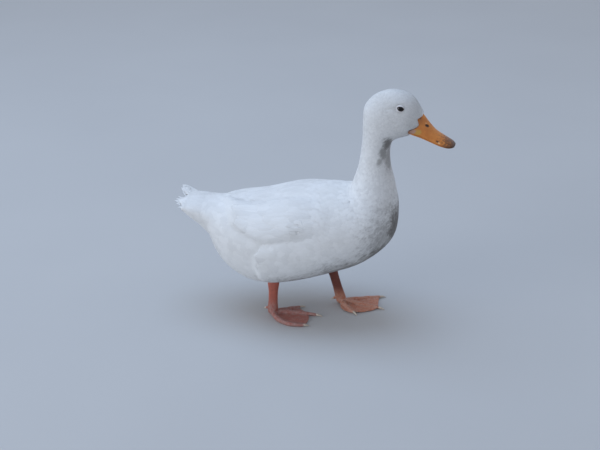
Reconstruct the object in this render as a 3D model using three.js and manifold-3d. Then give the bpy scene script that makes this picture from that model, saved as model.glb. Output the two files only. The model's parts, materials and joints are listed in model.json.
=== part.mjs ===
// A white domestic duck of the Pekin type, walking, as a still life-size model.
//
// Millimetres. +X is the way the duck faces, +Y is its left and +Z is up. The stations below are
// measured from a point on the floor between the feet. The exported group is set so that the origin is
// the middle of the model's bounding box, at floor level.
//
// The body is one skin of ribs: each rib is a closed oval that stands across the mid plane, from a point
// on the belly to a point on the back. Tail, trunk, neck and head are lengths of that one skin, parted
// by thin cuts. Wings and thighs are pads that lie on it, and the bill, eyes and shanks sit in sockets.

import * as THREE from "three";
import { mergeVertices } from "three/addons/utils/BufferGeometryUtils.js";
import Module from "manifold-3d";

const wasm = await Module();
wasm.setup();

// ---------------------------------------------------------------- driving dimensions

const GAP = 0.3; // clear space between two pieces that meet
const BODY_SIDES = 26; // facets round a rib
const RINGS_PER_STATION = 2.4; // cross sections of the body's skin between two stations
const FLOOR = { long: 600, wide: 300, deep: 40 }; // block below the floor, longer and wider than the duck
const LEFT = 1; // towards +Y
const RIGHT = -1;
const SIDES = { left: LEFT, right: RIGHT };

// Ribs from the root of the tail to the root of the bill. back and belly are [x, z] on the mid plane,
// half is half the rib's width, and widest is the height of its widest point as a share of the rib.
const STATIONS = [
  { name: "tail root", back: [-180, 172], belly: [-181, 156], half: 33, widest: 0.5 },
  { name: "tail coverts", back: [-164, 174], belly: [-167, 138], half: 36, widest: 0.6 },
  { name: "vent", back: [-147, 174.5], belly: [-143, 119], half: 39, widest: 0.6 },
  { name: "rump", back: [-126, 176], belly: [-131, 88.5], half: 48, widest: 0.56 },
  { name: "loin", back: [-98, 180], belly: [-106, 62], half: 62, widest: 0.54 },
  { name: "hip", back: [-60, 187], belly: [-66, 46], half: 73, widest: 0.54 },
  { name: "back", back: [-15, 202], belly: [-10, 56], half: 77, widest: 0.52 },
  { name: "shoulder", back: [28, 209], belly: [43, 74], half: 75, widest: 0.5 },
  { name: "breast", back: [55, 210], belly: [93, 97], half: 67, widest: 0.48 },
  { name: "crop", back: [66, 213], belly: [130, 134], half: 55, widest: 0.47 },
  { name: "neck root", back: [71, 225], belly: [137, 179], half: 39, widest: 0.48 },
  { name: "lower neck", back: [77, 245], belly: [131.5, 215], half: 27, widest: 0.5 },
  { name: "middle neck", back: [80, 265], belly: [124, 245], half: 21, widest: 0.5 },
  { name: "upper neck", back: [82, 289], belly: [122, 268], half: 20.5, widest: 0.5 },
  { name: "nape", back: [82, 313], belly: [125, 282], half: 22, widest: 0.5 },
  { name: "hind head", back: [85, 335], belly: [133, 288], half: 24, widest: 0.52 },
  { name: "crown", back: [102, 353], belly: [142, 291], half: 24, widest: 0.54 },
  { name: "brow", back: [128, 360], belly: [150, 294], half: 22.5, widest: 0.52 },
  { name: "forehead", back: [152, 352], belly: [156, 299], half: 18.5, widest: 0.48 },
  { name: "bill root", back: [168, 328.5], belly: [164.5, 305], half: 12.5, widest: 0.45 },
];
const stationAt = (name) => STATIONS.findIndex((station) => station.name === name);
const BODY_END = STATIONS.length - 1;
const TAIL_CUT = stationAt("vent") - 0.4;
const NECK_CUT = stationAt("crop") + 0.7;
const HEAD_CUT = stationAt("nape") + 0.3;

// Tail feathers, fanned about their common root. bearing turns from straight back towards the left.
const TAIL_FEATHERS = [
  { bearing: 27, length: 68 },
  { bearing: 20, length: 63 },
  { bearing: 12, length: 50 },
  { bearing: 0, length: 58 },
  { bearing: -6, length: 60 },
  { bearing: -11, length: 62 },
  { bearing: -19, length: 59 },
  { bearing: -28, length: 58 },
  { bearing: -37, length: 55 },
];
// roll lifts the fan's left side above its right one, and sag is how far a feather hangs at its middle.
const TAIL = { root: [-138, 0, 163], tipHeight: 169, roll: 0.2, sag: 0, width: 15, thick: 1.6 };

// The folded wing, on the body's skin: its edges from the tip to the front, each as [station, angle of
// the upper edge, angle of the lower edge], with angles in degrees down from the back's ridge. lift is
// the most it rises over the skin, rim how thick its edge is and sunk how far it is set in before the
// body is cut away from it.
const WING_EDGES = [
  [3.15, 3, 9],
  [3.6, 6, 36],
  [4.1, 9, 62],
  [4.8, 14, 73],
  [5.6, 20, 84],
  [6.5, 26, 86],
  [7.2, 36, 78],
  [7.5, 50, 66],
];
const WING = { lift: 4.6, rim: 1.8, sunk: 3, rows: 12, columns: 6 };

// The feathered thigh, on the skin in the same way. Its hind edge stands out furthest.
const THIGH_EDGES = [
  [5.0, 96, 136],
  [5.3, 82, 156],
  [5.9, 68, 166],
  [6.6, 63, 162],
  [7.4, 76, 146],
  [8.0, 98, 122],
];
const THIGH = { lift: 7.5, rim: 1.1, sunk: 3, rows: 10, columns: 7 };

// Legs: hock is inside the plumage, joint is where the toes leave the shank. A toe goes reach from the
// joint along bearing (degrees from straight ahead towards the left), bowed sideways by bow, and ends in
// its claw. webs go from the inner toe to the middle one and from that to the outer one. ends are how far
// up the flesh of the two toes a web goes, as shares, and scallop is how far its edge hangs back between
// them, or spreads forward if it is below zero. lobe is the width of the flap along the inner toe.
const LEGS = {
  right: {
    side: RIGHT,
    thighShift: 0,
    hock: [-43, -30, 66],
    joint: [-45.5, -26, 8],
    toes: {
      inner: { reach: 54, bearing: 37, bow: 0, claw: 8.5 },
      middle: { reach: 75, bearing: 4.5, bow: 3.5, claw: 8.5 },
      outer: { reach: 67, bearing: -24, bow: -16, claw: 5.5 },
    },
    webs: [
      { ends: [0.95, 0.9], scallop: 5 },
      { ends: [0.8, 0.97], scallop: -9 },
    ],
    lobe: 6,
  },
  left: {
    side: LEFT,
    thighShift: 0.5,
    hock: [30, 19, 84],
    joint: [48, 32, 8],
    toes: {
      inner: { reach: 49, bearing: -50, bow: -1.5, claw: 8.5 },
      middle: { reach: 70, bearing: -9, bow: 2, claw: 8.5 },
      outer: { reach: 72, bearing: 26, bow: 0, claw: 8.5 },
    },
    webs: [
      { ends: [0.97, 0.97], scallop: -10 },
      { ends: [0.97, 0.97], scallop: 1 },
    ],
    lobe: 8,
  },
};
// fore and across are half sizes of the shank's oval. hockSwell and footSwell are how much thicker its
// ends are than the shaft, as shares.
const SHANK = { fore: 6.5, across: 4.6, hockSwell: 0.16, footSwell: 0.2, cutHeight: 15 };
const BALL = { height: 6, half: [7.5, 6.5, 7] }; // where the toes meet under the shank
// Half widths and heights of a toe at its root and tip. sink is the height of its middle over the floor as
// a share of its half height, so that a small flat touches the floor. swell is at each knuckle.
const TOE = { rootWide: 4.2, tipWide: 2.9, rootTall: 4.4, tipTall: 2.7, sink: 0.82, knuckles: 3, swell: 0.07 };
const CLAW = { wide: 1.45, tall: 1.8, point: 0.35, arch: 0.5 };
const HIND_TOE = { back: 2, height: 12, length: 10, radius: 2.7, taper: 0.35, claw: 4.5, clawDrop: 0.8 };
const WEB = { thick: 1, height: 0.5 };

// Bill: culmen and edge are [x, z] of the ridge and of the biting edge, half is half the width.
const BILL = [
  { culmen: [154, 333], edge: [141, 307], half: 11.5 },
  { culmen: [167, 326.5], edge: [152, 301.5], half: 12.6 },
  { culmen: [176, 315.5], edge: [166, 297], half: 12.8 },
  { culmen: [186, 304.5], edge: [180, 291.5], half: 13 },
  { culmen: [196, 297.5], edge: [193, 286.5], half: 13.6 },
  { culmen: [205, 292], edge: [204, 283.8], half: 13 },
  { culmen: [211, 288.5], edge: [211, 283.6], half: 9.5 },
  { culmen: [214.3, 285.4], edge: [214.5, 283.8], half: 3.5 },
];
const PALATE = [-0.8, 0.8]; // its flat lies between these shares of the half width
// inset and reach make it narrower and shorter than the upper bill. deep and shallow are its height at the
// root and the tip.
const LOWER_BILL = { inset: 1.6, deep: 6, shallow: 2.4, reach: 0.92, lip: 0.8 };
const NOSTRIL = { centre: [174.3, 9.4, 312], long: 3.2, high: 1.4, deep: 2.6, slope: 28 };
const NAIL = { centre: [212, 0, 286], long: 7, wide: 5, high: 6 };
const EYE = { station: 17.15, angle: 70, radius: 6.3, sunk: 4.1 }; // angle down from the crown

const FINISH = {
  plumage: { color: 0xe9e7e2, roughness: 0.8 },
  bill: { color: 0xd98a3a, roughness: 0.45 },
  nail: { color: 0x6b5a48, roughness: 0.5 },
  leg: { color: 0xb5604c, roughness: 0.6 },
  claw: { color: 0xe4d8c8, roughness: 0.4 },
  eye: { color: 0x0b0b10, roughness: 0.05 },
};

// ---------------------------------------------------------------- solids from rings and grids

const vector = (x, y, z) => new THREE.Vector3(x, y, z);
const degrees = THREE.MathUtils.degToRad;
const { lerp, smoothstep, clamp } = THREE.MathUtils;

function signedVolume(points, index) {
  let sum = 0;
  for (let i = 0; i < index.length; i += 3) {
    const [a, b, c] = [points[index[i]], points[index[i + 1]], points[index[i + 2]]];
    sum += a.dot(b.clone().cross(c)) / 6;
  }
  return sum;
}

// Triangles with their faces turned outwards.
function closedGeometry(points, index) {
  if (signedVolume(points, index) < 0) index.reverse();
  return new THREE.BufferGeometry().setFromPoints(points).setIndex(index);
}

// A closed solid through rings of equally many points, with a fan over each end.
function loft(rings) {
  const sides = rings[0].length;
  const points = rings.flat();
  const index = [];
  for (let r = 0; r + 1 < rings.length; r++)
    for (let i = 0; i < sides; i++) {
      const j = (i + 1) % sides;
      const [near, far] = [r * sides, (r + 1) * sides];
      index.push(near + i, near + j, far + j, near + i, far + j, far + i);
    }
  const last = (rings.length - 1) * sides;
  for (const start of [0, last]) {
    const middle = points
      .slice(start, start + sides)
      .reduce((sum, point) => sum.add(point), vector(0, 0, 0))
      .divideScalar(sides);
    const hub = points.push(middle) - 1;
    for (let i = 0; i < sides; i++) {
      const edge = [start + i, start + ((i + 1) % sides)];
      index.push(hub, ...(start === 0 ? edge.reverse() : edge));
    }
  }
  return closedGeometry(points, index);
}

// A closed pad between two grids of points, under[row][column] and over[row][column].
function pad(under, over) {
  const [rows, columns] = [under.length, under[0].length];
  const points = [...under.flat(), ...over.flat()];
  const lower = (r, c) => r * columns + c;
  const upper = (r, c) => rows * columns + lower(r, c);
  const index = [];
  const quad = (a, b, c, d) => index.push(a, b, c, a, c, d);
  for (let r = 0; r + 1 < rows; r++)
    for (let c = 0; c + 1 < columns; c++) {
      quad(lower(r, c), lower(r + 1, c), lower(r + 1, c + 1), lower(r, c + 1));
      quad(upper(r, c), upper(r, c + 1), upper(r + 1, c + 1), upper(r + 1, c));
    }
  for (let r = 0; r + 1 < rows; r++) {
    const end = columns - 1;
    quad(lower(r, 0), upper(r, 0), upper(r + 1, 0), lower(r + 1, 0));
    quad(lower(r, end), lower(r + 1, end), upper(r + 1, end), upper(r, end));
  }
  for (let c = 0; c + 1 < columns; c++) {
    const end = rows - 1;
    quad(lower(0, c), lower(0, c + 1), upper(0, c + 1), upper(0, c));
    quad(lower(end, c), upper(end, c), upper(end, c + 1), lower(end, c + 1));
  }
  return closedGeometry(points, index);
}

// Rings square to a curve. section(t) gives half the width across and half the height of a ring.
function sweep(curve, steps, sides, up, section) {
  const rings = [];
  for (let r = 0; r <= steps; r++) {
    const t = r / steps;
    const along = curve.getTangent(t);
    const across = up.clone().cross(along).normalize();
    const upright = along.clone().cross(across);
    const [wide, tall] = section(t);
    const centre = curve.getPoint(t);
    rings.push(
      Array.from({ length: sides }, (_, i) => {
        const turn = (2 * Math.PI * i) / sides;
        return centre
          .clone()
          .addScaledVector(across, wide * Math.cos(turn))
          .addScaledVector(upright, tall * Math.sin(turn));
      }),
    );
  }
  return loft(rings);
}

function toSolid(geometry) {
  const bare = new THREE.BufferGeometry();
  bare.setAttribute("position", geometry.getAttribute("position"));
  bare.setIndex(geometry.index);
  const merged = mergeVertices(bare, 1e-3);
  return new wasm.Manifold(
    new wasm.Mesh({
      numProp: 3,
      vertProperties: merged.attributes.position.array,
      triVerts: new Uint32Array(merged.index.array),
    }),
  );
}

function toGeometry(solid) {
  const { numProp, vertProperties, triVerts } = solid.getMesh();
  const position = new Float32Array((vertProperties.length / numProp) * 3);
  for (let i = 0; i < position.length / 3; i++)
    position.set(vertProperties.subarray(i * numProp, i * numProp + 3), i * 3);
  return new THREE.BufferGeometry()
    .setAttribute("position", new THREE.BufferAttribute(position, 3))
    .setIndex(new THREE.BufferAttribute(new Uint32Array(triVerts), 1));
}

const join = (solids) => solids.reduce((whole, solid) => whole.add(solid));

function ellipsoid(centre, [x, y, z], widthSegments, heightSegments) {
  const geometry = new THREE.SphereGeometry(1, widthSegments, heightSegments);
  return toSolid(geometry.scale(x, y, z).translate(...centre));
}

// ---------------------------------------------------------------- the body's skin

const backLine = new THREE.SplineCurve(STATIONS.map(({ back }) => new THREE.Vector2(...back)));
const bellyLine = new THREE.SplineCurve(STATIONS.map(({ belly }) => new THREE.Vector2(...belly)));
const girth = new THREE.SplineCurve(STATIONS.map(({ half, widest }) => new THREE.Vector2(half, widest)));

// A point of the rib at a station, at an angle round it: 0 on the back's ridge, a quarter turn on the
// left side, half a turn on the belly.
function ribPoint(station, turn) {
  const u = clamp(station / BODY_END, 0, 1);
  const back = backLine.getPoint(u);
  const belly = bellyLine.getPoint(u);
  const { x: half, y: widest } = girth.getPoint(u);
  const rise = Math.cos(turn);
  const share = widest + rise * (rise > 0 ? 1 - widest : widest);
  const onRib = belly.lerp(back, share);
  return vector(onRib.x, half * Math.sin(turn), onRib.y);
}

// A point raised off the skin, square to it.
function skinPoint(station, turn, lift) {
  const step = 0.02;
  const ahead = ribPoint(station + step, turn).sub(ribPoint(station - step, turn));
  const round = ribPoint(station, turn + step).sub(ribPoint(station, turn - step));
  return ribPoint(station, turn).addScaledVector(ahead.cross(round).normalize(), lift);
}

// The length of the body between two stations, short of each cut by inset and thickened by grow.
function bodyLength(from, to, inset = GAP / 2, grow = 0) {
  const steps = Math.round((to - from) * RINGS_PER_STATION);
  const turns = Array.from({ length: BODY_SIDES }, (_, i) => (2 * Math.PI * i) / BODY_SIDES);
  const rings = [];
  for (let r = 0; r <= steps; r++) {
    const station = lerp(from, to, r / steps);
    rings.push(turns.map((turn) => skinPoint(station, turn, grow)));
  }
  const ends = [
    [rings[0], inset],
    [rings.at(-1), -inset],
  ];
  for (const [ring, forward] of ends) {
    const high = ring[0].clone().sub(ring[BODY_SIDES / 2]).normalize();
    const shift = vector(0, 1, 0).cross(high).multiplyScalar(forward);
    ring.forEach((point) => point.add(shift));
  }
  return toSolid(loft(rings));
}

// ---------------------------------------------------------------- pads on the skin

// Edges read from a table of [station, upper angle, lower angle] as smooth curves.
function edgeCurve(table) {
  return new THREE.SplineCurve(table.map(([, upper, lower]) => new THREE.Vector2(upper, lower)));
}

const PAD_SPAN = 30; // the least width of a pad, in millimetres

// A pad between such edges. grow makes it bigger all round, to leave room for a neighbour.
function skinPad(edges, { rim, sunk, rows, columns }, side, liftAt, shift = 0, grow = 0) {
  const curve = edgeCurve(edges);
  const stations = edges.map(([station]) => station);
  const spread = grow / PAD_SPAN;
  const under = [];
  const over = [];
  for (let r = 0; r <= rows; r++) {
    const t = lerp(-spread, 1 + spread, r / rows);
    const place = t * (edges.length - 1);
    const before = clamp(Math.floor(place), 0, edges.length - 2);
    const station = lerp(stations[before], stations[before + 1], place - before) + shift;
    const { x: upper, y: lower } = curve.getPoint(clamp(t, 0, 1));
    under.push([]);
    over.push([]);
    for (let c = 0; c <= columns; c++) {
      const across = lerp(-spread, 1 + spread, c / columns);
      const turn = side * degrees(lerp(upper, lower, across));
      under[r].push(skinPoint(station, turn, -sunk));
      over[r].push(skinPoint(station, turn, rim + grow + liftAt(t, across)));
    }
  }
  return toSolid(pad(under, over));
}

const dome = (t) => Math.sin(Math.PI * clamp(t, 0, 1));

// A wing is fullest a little below its middle and thins to its tip and front.
const wingLift = (t, across) => WING.lift * Math.pow(dome(t), 0.8) * Math.pow(dome(across), 0.7);
const wingPad = (side, grow = 0) => skinPad(WING_EDGES, WING, side, wingLift, 0, grow);

// A thigh stands out at its hind edge and runs out level to the front.
const thighLift = (t, across) =>
  THIGH.lift * smoothstep(t, 0, 0.12) * (1 - smoothstep(t, 0.25, 1)) * Math.pow(dome(across), 0.6);
const thighPad = (side, shift) => skinPad(THIGH_EDGES, THIGH, side, thighLift, shift);

// ---------------------------------------------------------------- tail

function tailFeather({ bearing, length }) {
  const { root, tipHeight, roll, sag, width, thick } = TAIL;
  const along = vector(-Math.cos(degrees(bearing)), Math.sin(degrees(bearing)), 0);
  const start = vector(...root);
  const tip = start.clone().addScaledVector(along, length);
  tip.z = tipHeight + roll * tip.y;
  const middle = start.clone().lerp(tip, 0.55);
  middle.z -= sag;
  const curve = new THREE.QuadraticBezierCurve3(start, middle, tip);
  // A feather widens towards its rounded tip and thins all the way.
  const section = (t) => [
    0.5 * width * lerp(0.7, 1, t) * Math.sqrt(1 - 0.97 * Math.pow(t, 6)),
    0.5 * thick * lerp(1.6, 0.6, t),
  ];
  return toSolid(sweep(curve, 6, 4, vector(0, -roll, 1), section));
}

// ---------------------------------------------------------------- legs and feet

const slab = (deep) => new THREE.BoxGeometry(FLOOR.long, FLOOR.wide, deep);
const floorBlock = toSolid(slab(FLOOR.deep).translate(0, 0, -FLOOR.deep / 2));
const aboveCut = (height) => toSolid(slab(FLOOR.wide).translate(0, 0, height + FLOOR.wide / 2));

function shankCurve({ hock, joint }) {
  return new THREE.LineCurve3(vector(...hock), vector(...joint));
}

function shank(leg, grow = 0) {
  const { fore, across, hockSwell, footSwell } = SHANK;
  const swell = (t) => 1 + hockSwell * smoothstep(1 - t, 0.55, 0.9) + footSwell * smoothstep(t, 0.7, 1);
  const section = (t) => [across * swell(t) + grow, fore * swell(t) + grow];
  return toSolid(sweep(shankCurve(leg), 8, 10, vector(1, 0, 0), section));
}

function toeCurve({ joint }, { reach, bearing, bow }) {
  const start = vector(joint[0], joint[1], 0);
  const along = vector(Math.cos(degrees(bearing)), Math.sin(degrees(bearing)), 0);
  const aside = vector(-along.y, along.x, 0);
  const tip = start.clone().addScaledVector(along, reach);
  const middle = start.clone().lerp(tip, 0.5).addScaledVector(aside, 2 * bow);
  return new THREE.QuadraticBezierCurve3(start, middle, tip);
}

// The flesh of a toe ends where its claw begins.
const fleshShare = (toe) => 1 - toe.claw / toe.reach;

function toeFlesh(leg, toe) {
  const { rootWide, tipWide, rootTall, tipTall, sink, knuckles, swell } = TOE;
  const path = toeCurve(leg, toe);
  const steps = 6;
  const tall = (t) => lerp(rootTall, tipTall, t);
  const spine = Array.from({ length: steps + 1 }, (_, i) => {
    const point = path.getPoint((fleshShare(toe) * i) / steps);
    point.z = sink * tall(i / steps);
    return point;
  });
  // The flesh swells at each knuckle and is rounded off where the claw grows out of it.
  const full = (t) =>
    (1 + swell * Math.cos(2 * Math.PI * knuckles * t)) * Math.sqrt(1 - 0.6 * Math.pow(t, 14));
  const section = (t) => [lerp(rootWide, tipWide, t) * full(t), tall(t) * full(t)];
  return toSolid(sweep(new THREE.CatmullRomCurve3(spine), steps, 6, vector(0, 0, 1), section));
}

// A claw arches over and comes down to its point. The front ones touch the floor there.
function claw(base, along, length, drop, grow = 0) {
  const { wide, tall, point, arch } = CLAW;
  const tip = base.clone().addScaledVector(along, length);
  tip.z -= drop;
  const middle = base.clone().addScaledVector(along, 0.6 * length);
  middle.z += arch;
  const curve = new THREE.QuadraticBezierCurve3(base, middle, tip);
  const section = (t) => [lerp(wide, point, t) + grow, lerp(tall, point, t) + grow];
  return toSolid(sweep(curve, 4, 6, vector(0, 0, 1), section)).subtract(floorBlock);
}

function toeClaw(leg, toe, grow = 0) {
  const path = toeCurve(leg, toe);
  const share = fleshShare(toe);
  const base = path.getPoint(share);
  const along = path.getPoint(1).sub(base);
  const length = along.length();
  along.normalize();
  base.addScaledVector(along, GAP);
  base.z = TOE.sink * TOE.tipTall;
  return claw(base, along, length - GAP + grow, base.z - 0.5 * CLAW.point, grow);
}

// The web spans the toes and has a lobe along the inner one.
function web(leg) {
  const { inner, middle, outer } = leg.toes;
  const along = (toe, t) => toeCurve(leg, toe).getPoint(t * fleshShare(toe));
  const heel = along(middle, 0);
  const shape = new THREE.Shape();
  shape.moveTo(heel.x, heel.y);
  for (const t of [0.35, 0.65, 0.9]) {
    const point = along(inner, t);
    const ahead = along(inner, t + 0.02).sub(point).setLength(-leg.side * leg.lobe);
    shape.lineTo(point.x - ahead.y, point.y + ahead.x);
  }
  for (const [span, toes] of [[inner, middle], [middle, outer]].entries()) {
    const { ends, scallop } = leg.webs[span];
    const [start, tip] = toes.map((toe, end) => along(toe, ends[end]));
    const centre = start.clone().lerp(tip, 0.5);
    centre.addScaledVector(heel.clone().sub(centre).normalize(), scallop);
    shape.lineTo(start.x, start.y);
    shape.quadraticCurveTo(centre.x, centre.y, tip.x, tip.y);
  }
  for (const t of [0.8, 0.6, 0.4, 0.2]) {
    const point = along(outer, t);
    shape.lineTo(point.x, point.y);
  }
  shape.closePath();
  const settings = { depth: WEB.thick, bevelEnabled: false, curveSegments: 4 };
  const claws = [inner, middle, outer].map((toe) => toeClaw(leg, toe, GAP));
  return toSolid(new THREE.ExtrudeGeometry(shape, settings).translate(0, 0, WEB.height)).subtract(join(claws));
}

// The hind toe is short, set above the others, and points back and inwards.
function hindToe(leg) {
  const [x, y] = leg.joint;
  const base = vector(x - HIND_TOE.back, y, HIND_TOE.height);
  const along = vector(-0.88, -0.3 * leg.side, -0.36).normalize();
  return { base, along, tip: base.clone().addScaledVector(along, HIND_TOE.length) };
}

function hindFlesh(leg) {
  const { base, tip } = hindToe(leg);
  const section = (t) => Array(2).fill(HIND_TOE.radius * (1 - HIND_TOE.taper * t));
  return toSolid(sweep(new THREE.LineCurve3(base, tip), 2, 6, vector(0, 0, 1), section));
}

function hindClaw(leg) {
  const { along, tip } = hindToe(leg);
  return claw(tip.addScaledVector(along, GAP), along, HIND_TOE.claw, HIND_TOE.clawDrop);
}

function foot(leg) {
  const toes = Object.values(leg.toes).map((toe) => toeFlesh(leg, toe));
  const knuckle = shank(leg).subtract(aboveCut(SHANK.cutHeight - GAP));
  const ball = ellipsoid([leg.joint[0], leg.joint[1], BALL.height], BALL.half, 8, 6);
  return join([...toes, knuckle, ball, hindFlesh(leg), web(leg)]).subtract(floorBlock);
}

// ---------------------------------------------------------------- eyes and bill

function eyeball(side, grow = 0) {
  const { station, angle, radius, sunk } = EYE;
  const centre = skinPoint(station, side * degrees(angle), -sunk);
  return ellipsoid(centre.toArray(), Array(3).fill(radius + grow), 12, 7);
}

const culmenLine = new THREE.SplineCurve(BILL.map(({ culmen }) => new THREE.Vector2(...culmen)));
const edgeLine = new THREE.SplineCurve(BILL.map(({ edge }) => new THREE.Vector2(...edge)));
const billHalf = new THREE.SplineCurve(BILL.map(({ half }) => new THREE.Vector2(half, 0)));

// Rings of the upper bill: a high arch from edge to edge, closed by a nearly flat palate.
function upperBill(grow = 0) {
  const [steps, arch] = [11, 8];
  const rings = [];
  for (let r = 0; r <= steps; r++) {
    const t = r / steps;
    const culmen = culmenLine.getPoint(t);
    const edge = edgeLine.getPoint(t);
    const half = billHalf.getPoint(t).x + grow;
    const ridge = culmen.clone().sub(edge);
    const high = ridge.length() + grow;
    ridge.normalize();
    const back = r === 0 ? grow : 0;
    const place = (across, up) => vector(edge.x - back + ridge.x * up, across, edge.y + ridge.y * up);
    const ring = [];
    for (let i = 0; i <= arch; i++) {
      const turn = (Math.PI * i) / arch;
      ring.push(place(half * Math.cos(turn), Math.pow(Math.sin(turn), 0.8) * high));
    }
    for (const share of PALATE) ring.push(place(half * share, -grow));
    rings.push(ring);
  }
  return toSolid(loft(rings));
}

// The lower bill lies under the palate, a little narrower and shorter than the upper one.
function lowerBill(grow = 0) {
  const [steps, arch] = [7, 6];
  const rings = [];
  for (let r = 0; r <= steps; r++) {
    const t = LOWER_BILL.reach * (r / steps);
    const edge = edgeLine.getPoint(t);
    const half = billHalf.getPoint(t).x - LOWER_BILL.inset + grow;
    const deep = lerp(LOWER_BILL.deep, LOWER_BILL.shallow, Math.sqrt(t)) + grow;
    const lip = edge.y - GAP - LOWER_BILL.lip;
    const x = edge.x - (r === 0 ? grow : 0);
    const ring = [];
    for (let i = 0; i <= arch; i++) {
      const turn = (Math.PI * i) / arch;
      ring.push(vector(x, half * Math.cos(turn), lip - deep * Math.sin(turn)));
    }
    for (const share of PALATE) ring.push(vector(x, share * half, lip + LOWER_BILL.lip + grow));
    rings.push(ring);
  }
  return toSolid(loft(rings));
}

// The nostril is an oval pit low on each side of the bill's root.
function nostril(side) {
  const { centre: [x, y, z], long, high, deep, slope } = NOSTRIL;
  const pit = new THREE.SphereGeometry(1, 8, 6).scale(long, deep, high);
  return toSolid(pit.rotateY(degrees(slope)).translate(x, side * y, z));
}

// The nail is the part of the bill's tip inside this block.
function nailBlock(grow = 0) {
  return ellipsoid(NAIL.centre, [NAIL.long + grow, NAIL.wide + grow, NAIL.high + grow], 8, 6);
}

// ---------------------------------------------------------------- the model

const duck = new THREE.Group();

function addPiece(name, shape, { color, roughness }) {
  const geometry = shape.isBufferGeometry ? shape : toGeometry(shape);
  const mesh = new THREE.Mesh(geometry, new THREE.MeshStandardMaterial({ color, roughness, metalness: 0 }));
  mesh.name = name;
  duck.add(mesh);
}

const trunk = bodyLength(TAIL_CUT, NECK_CUT);
const tailStem = bodyLength(0, TAIL_CUT);
const grownBody = bodyLength(0, NECK_CUT, 0, GAP);
const shankSockets = join(Object.values(LEGS).map((leg) => shank(leg, GAP)));
const trunkAhead = bodyLength(TAIL_CUT, stationAt("loin"), -GAP / 2, GAP);
const tailFan = join(TAIL_FEATHERS.map(tailFeather));

addPiece("trunk", trunk.subtract(shankSockets), FINISH.plumage);
addPiece("neck", bodyLength(NECK_CUT, HEAD_CUT), FINISH.plumage);
addPiece("tail", tailStem.add(tailFan).subtract(trunkAhead), FINISH.plumage);

const eyeSockets = join(Object.values(SIDES).map((side) => eyeball(side, GAP)));
const billSocket = upperBill(GAP).add(lowerBill(GAP));
addPiece("head", bodyLength(HEAD_CUT, BODY_END).subtract(eyeSockets).subtract(billSocket), FINISH.plumage);

const nostrils = nostril(LEFT).add(nostril(RIGHT));
addPiece("bill_upper", upperBill().subtract(nostrils).subtract(nailBlock(GAP)), FINISH.bill);
addPiece("bill_nail", upperBill().intersect(nailBlock()), FINISH.nail);
addPiece("bill_lower", lowerBill(), FINISH.bill);

for (const [name, side] of Object.entries(SIDES)) {
  const leg = LEGS[name];
  const wing = wingPad(side).subtract(grownBody);
  const thigh = thighPad(side, leg.thighShift).subtract(grownBody);
  addPiece(`eye_${name}`, eyeball(side), FINISH.eye);
  addPiece(`wing_${name}`, wing, FINISH.plumage);
  addPiece(`thigh_${name}`, thigh.subtract(wingPad(side, GAP)).subtract(shankSockets), FINISH.plumage);
  addPiece(`shank_${name}`, shank(leg).intersect(aboveCut(SHANK.cutHeight)), FINISH.leg);
  addPiece(`foot_${name}`, foot(leg), FINISH.leg);
  addPiece(`claw_${name}_hind`, hindClaw(leg), FINISH.claw);
  for (const [toeName, toe] of Object.entries(leg.toes))
    addPiece(`claw_${name}_${toeName}`, toeClaw(leg, toe), FINISH.claw);
}

// The origin is the middle of the bounding box, at floor level.
const box = new THREE.Box3().setFromObject(duck);
const middle = box.getCenter(vector(0, 0, 0));
duck.position.set(-middle.x, -middle.y, -box.min.z);

export default duck;
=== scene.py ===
# %% [markdown]
# # A white duck, walking
#
# This lesson dresses the plain solids of a duck in skin, feathers, bill, eyes, legs and claws. The
# solids are the fixed frame: everything here is in metres, in the same place as they are. The duck
# faces along +X, its left side is towards +Y, and it stands on the floor at height 0.

# %% Load the frame
import json
import math

import bmesh
import bpy
import numpy as np
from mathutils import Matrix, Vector

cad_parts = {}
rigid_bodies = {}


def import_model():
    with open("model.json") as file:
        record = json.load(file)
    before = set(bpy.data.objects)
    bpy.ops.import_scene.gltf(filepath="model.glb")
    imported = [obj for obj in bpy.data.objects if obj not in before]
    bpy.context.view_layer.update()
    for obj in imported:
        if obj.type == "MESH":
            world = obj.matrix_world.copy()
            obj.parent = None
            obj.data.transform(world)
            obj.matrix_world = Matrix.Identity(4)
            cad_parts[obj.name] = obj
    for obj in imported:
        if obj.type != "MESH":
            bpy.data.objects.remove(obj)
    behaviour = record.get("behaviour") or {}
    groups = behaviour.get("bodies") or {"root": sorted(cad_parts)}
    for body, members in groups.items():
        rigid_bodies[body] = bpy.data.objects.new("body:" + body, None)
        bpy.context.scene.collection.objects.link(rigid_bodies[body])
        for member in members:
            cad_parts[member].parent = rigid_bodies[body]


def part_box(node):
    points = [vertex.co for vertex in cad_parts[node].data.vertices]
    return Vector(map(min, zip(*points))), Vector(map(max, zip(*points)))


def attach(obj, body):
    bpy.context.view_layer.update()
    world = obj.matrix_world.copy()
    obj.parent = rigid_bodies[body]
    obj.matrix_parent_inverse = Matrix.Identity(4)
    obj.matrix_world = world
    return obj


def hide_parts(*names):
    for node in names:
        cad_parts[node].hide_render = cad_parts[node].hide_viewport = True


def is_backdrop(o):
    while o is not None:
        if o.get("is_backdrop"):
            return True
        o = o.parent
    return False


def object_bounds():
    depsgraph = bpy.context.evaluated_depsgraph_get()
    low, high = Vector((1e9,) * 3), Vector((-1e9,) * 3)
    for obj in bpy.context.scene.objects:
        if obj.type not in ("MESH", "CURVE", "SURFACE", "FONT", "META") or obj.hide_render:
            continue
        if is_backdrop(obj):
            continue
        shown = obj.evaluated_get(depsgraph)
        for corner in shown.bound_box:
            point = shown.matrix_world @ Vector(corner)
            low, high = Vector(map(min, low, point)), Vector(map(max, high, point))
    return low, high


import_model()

cad_low, cad_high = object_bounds()
print("solids from", tuple(cad_low), "to", tuple(cad_high))

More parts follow.
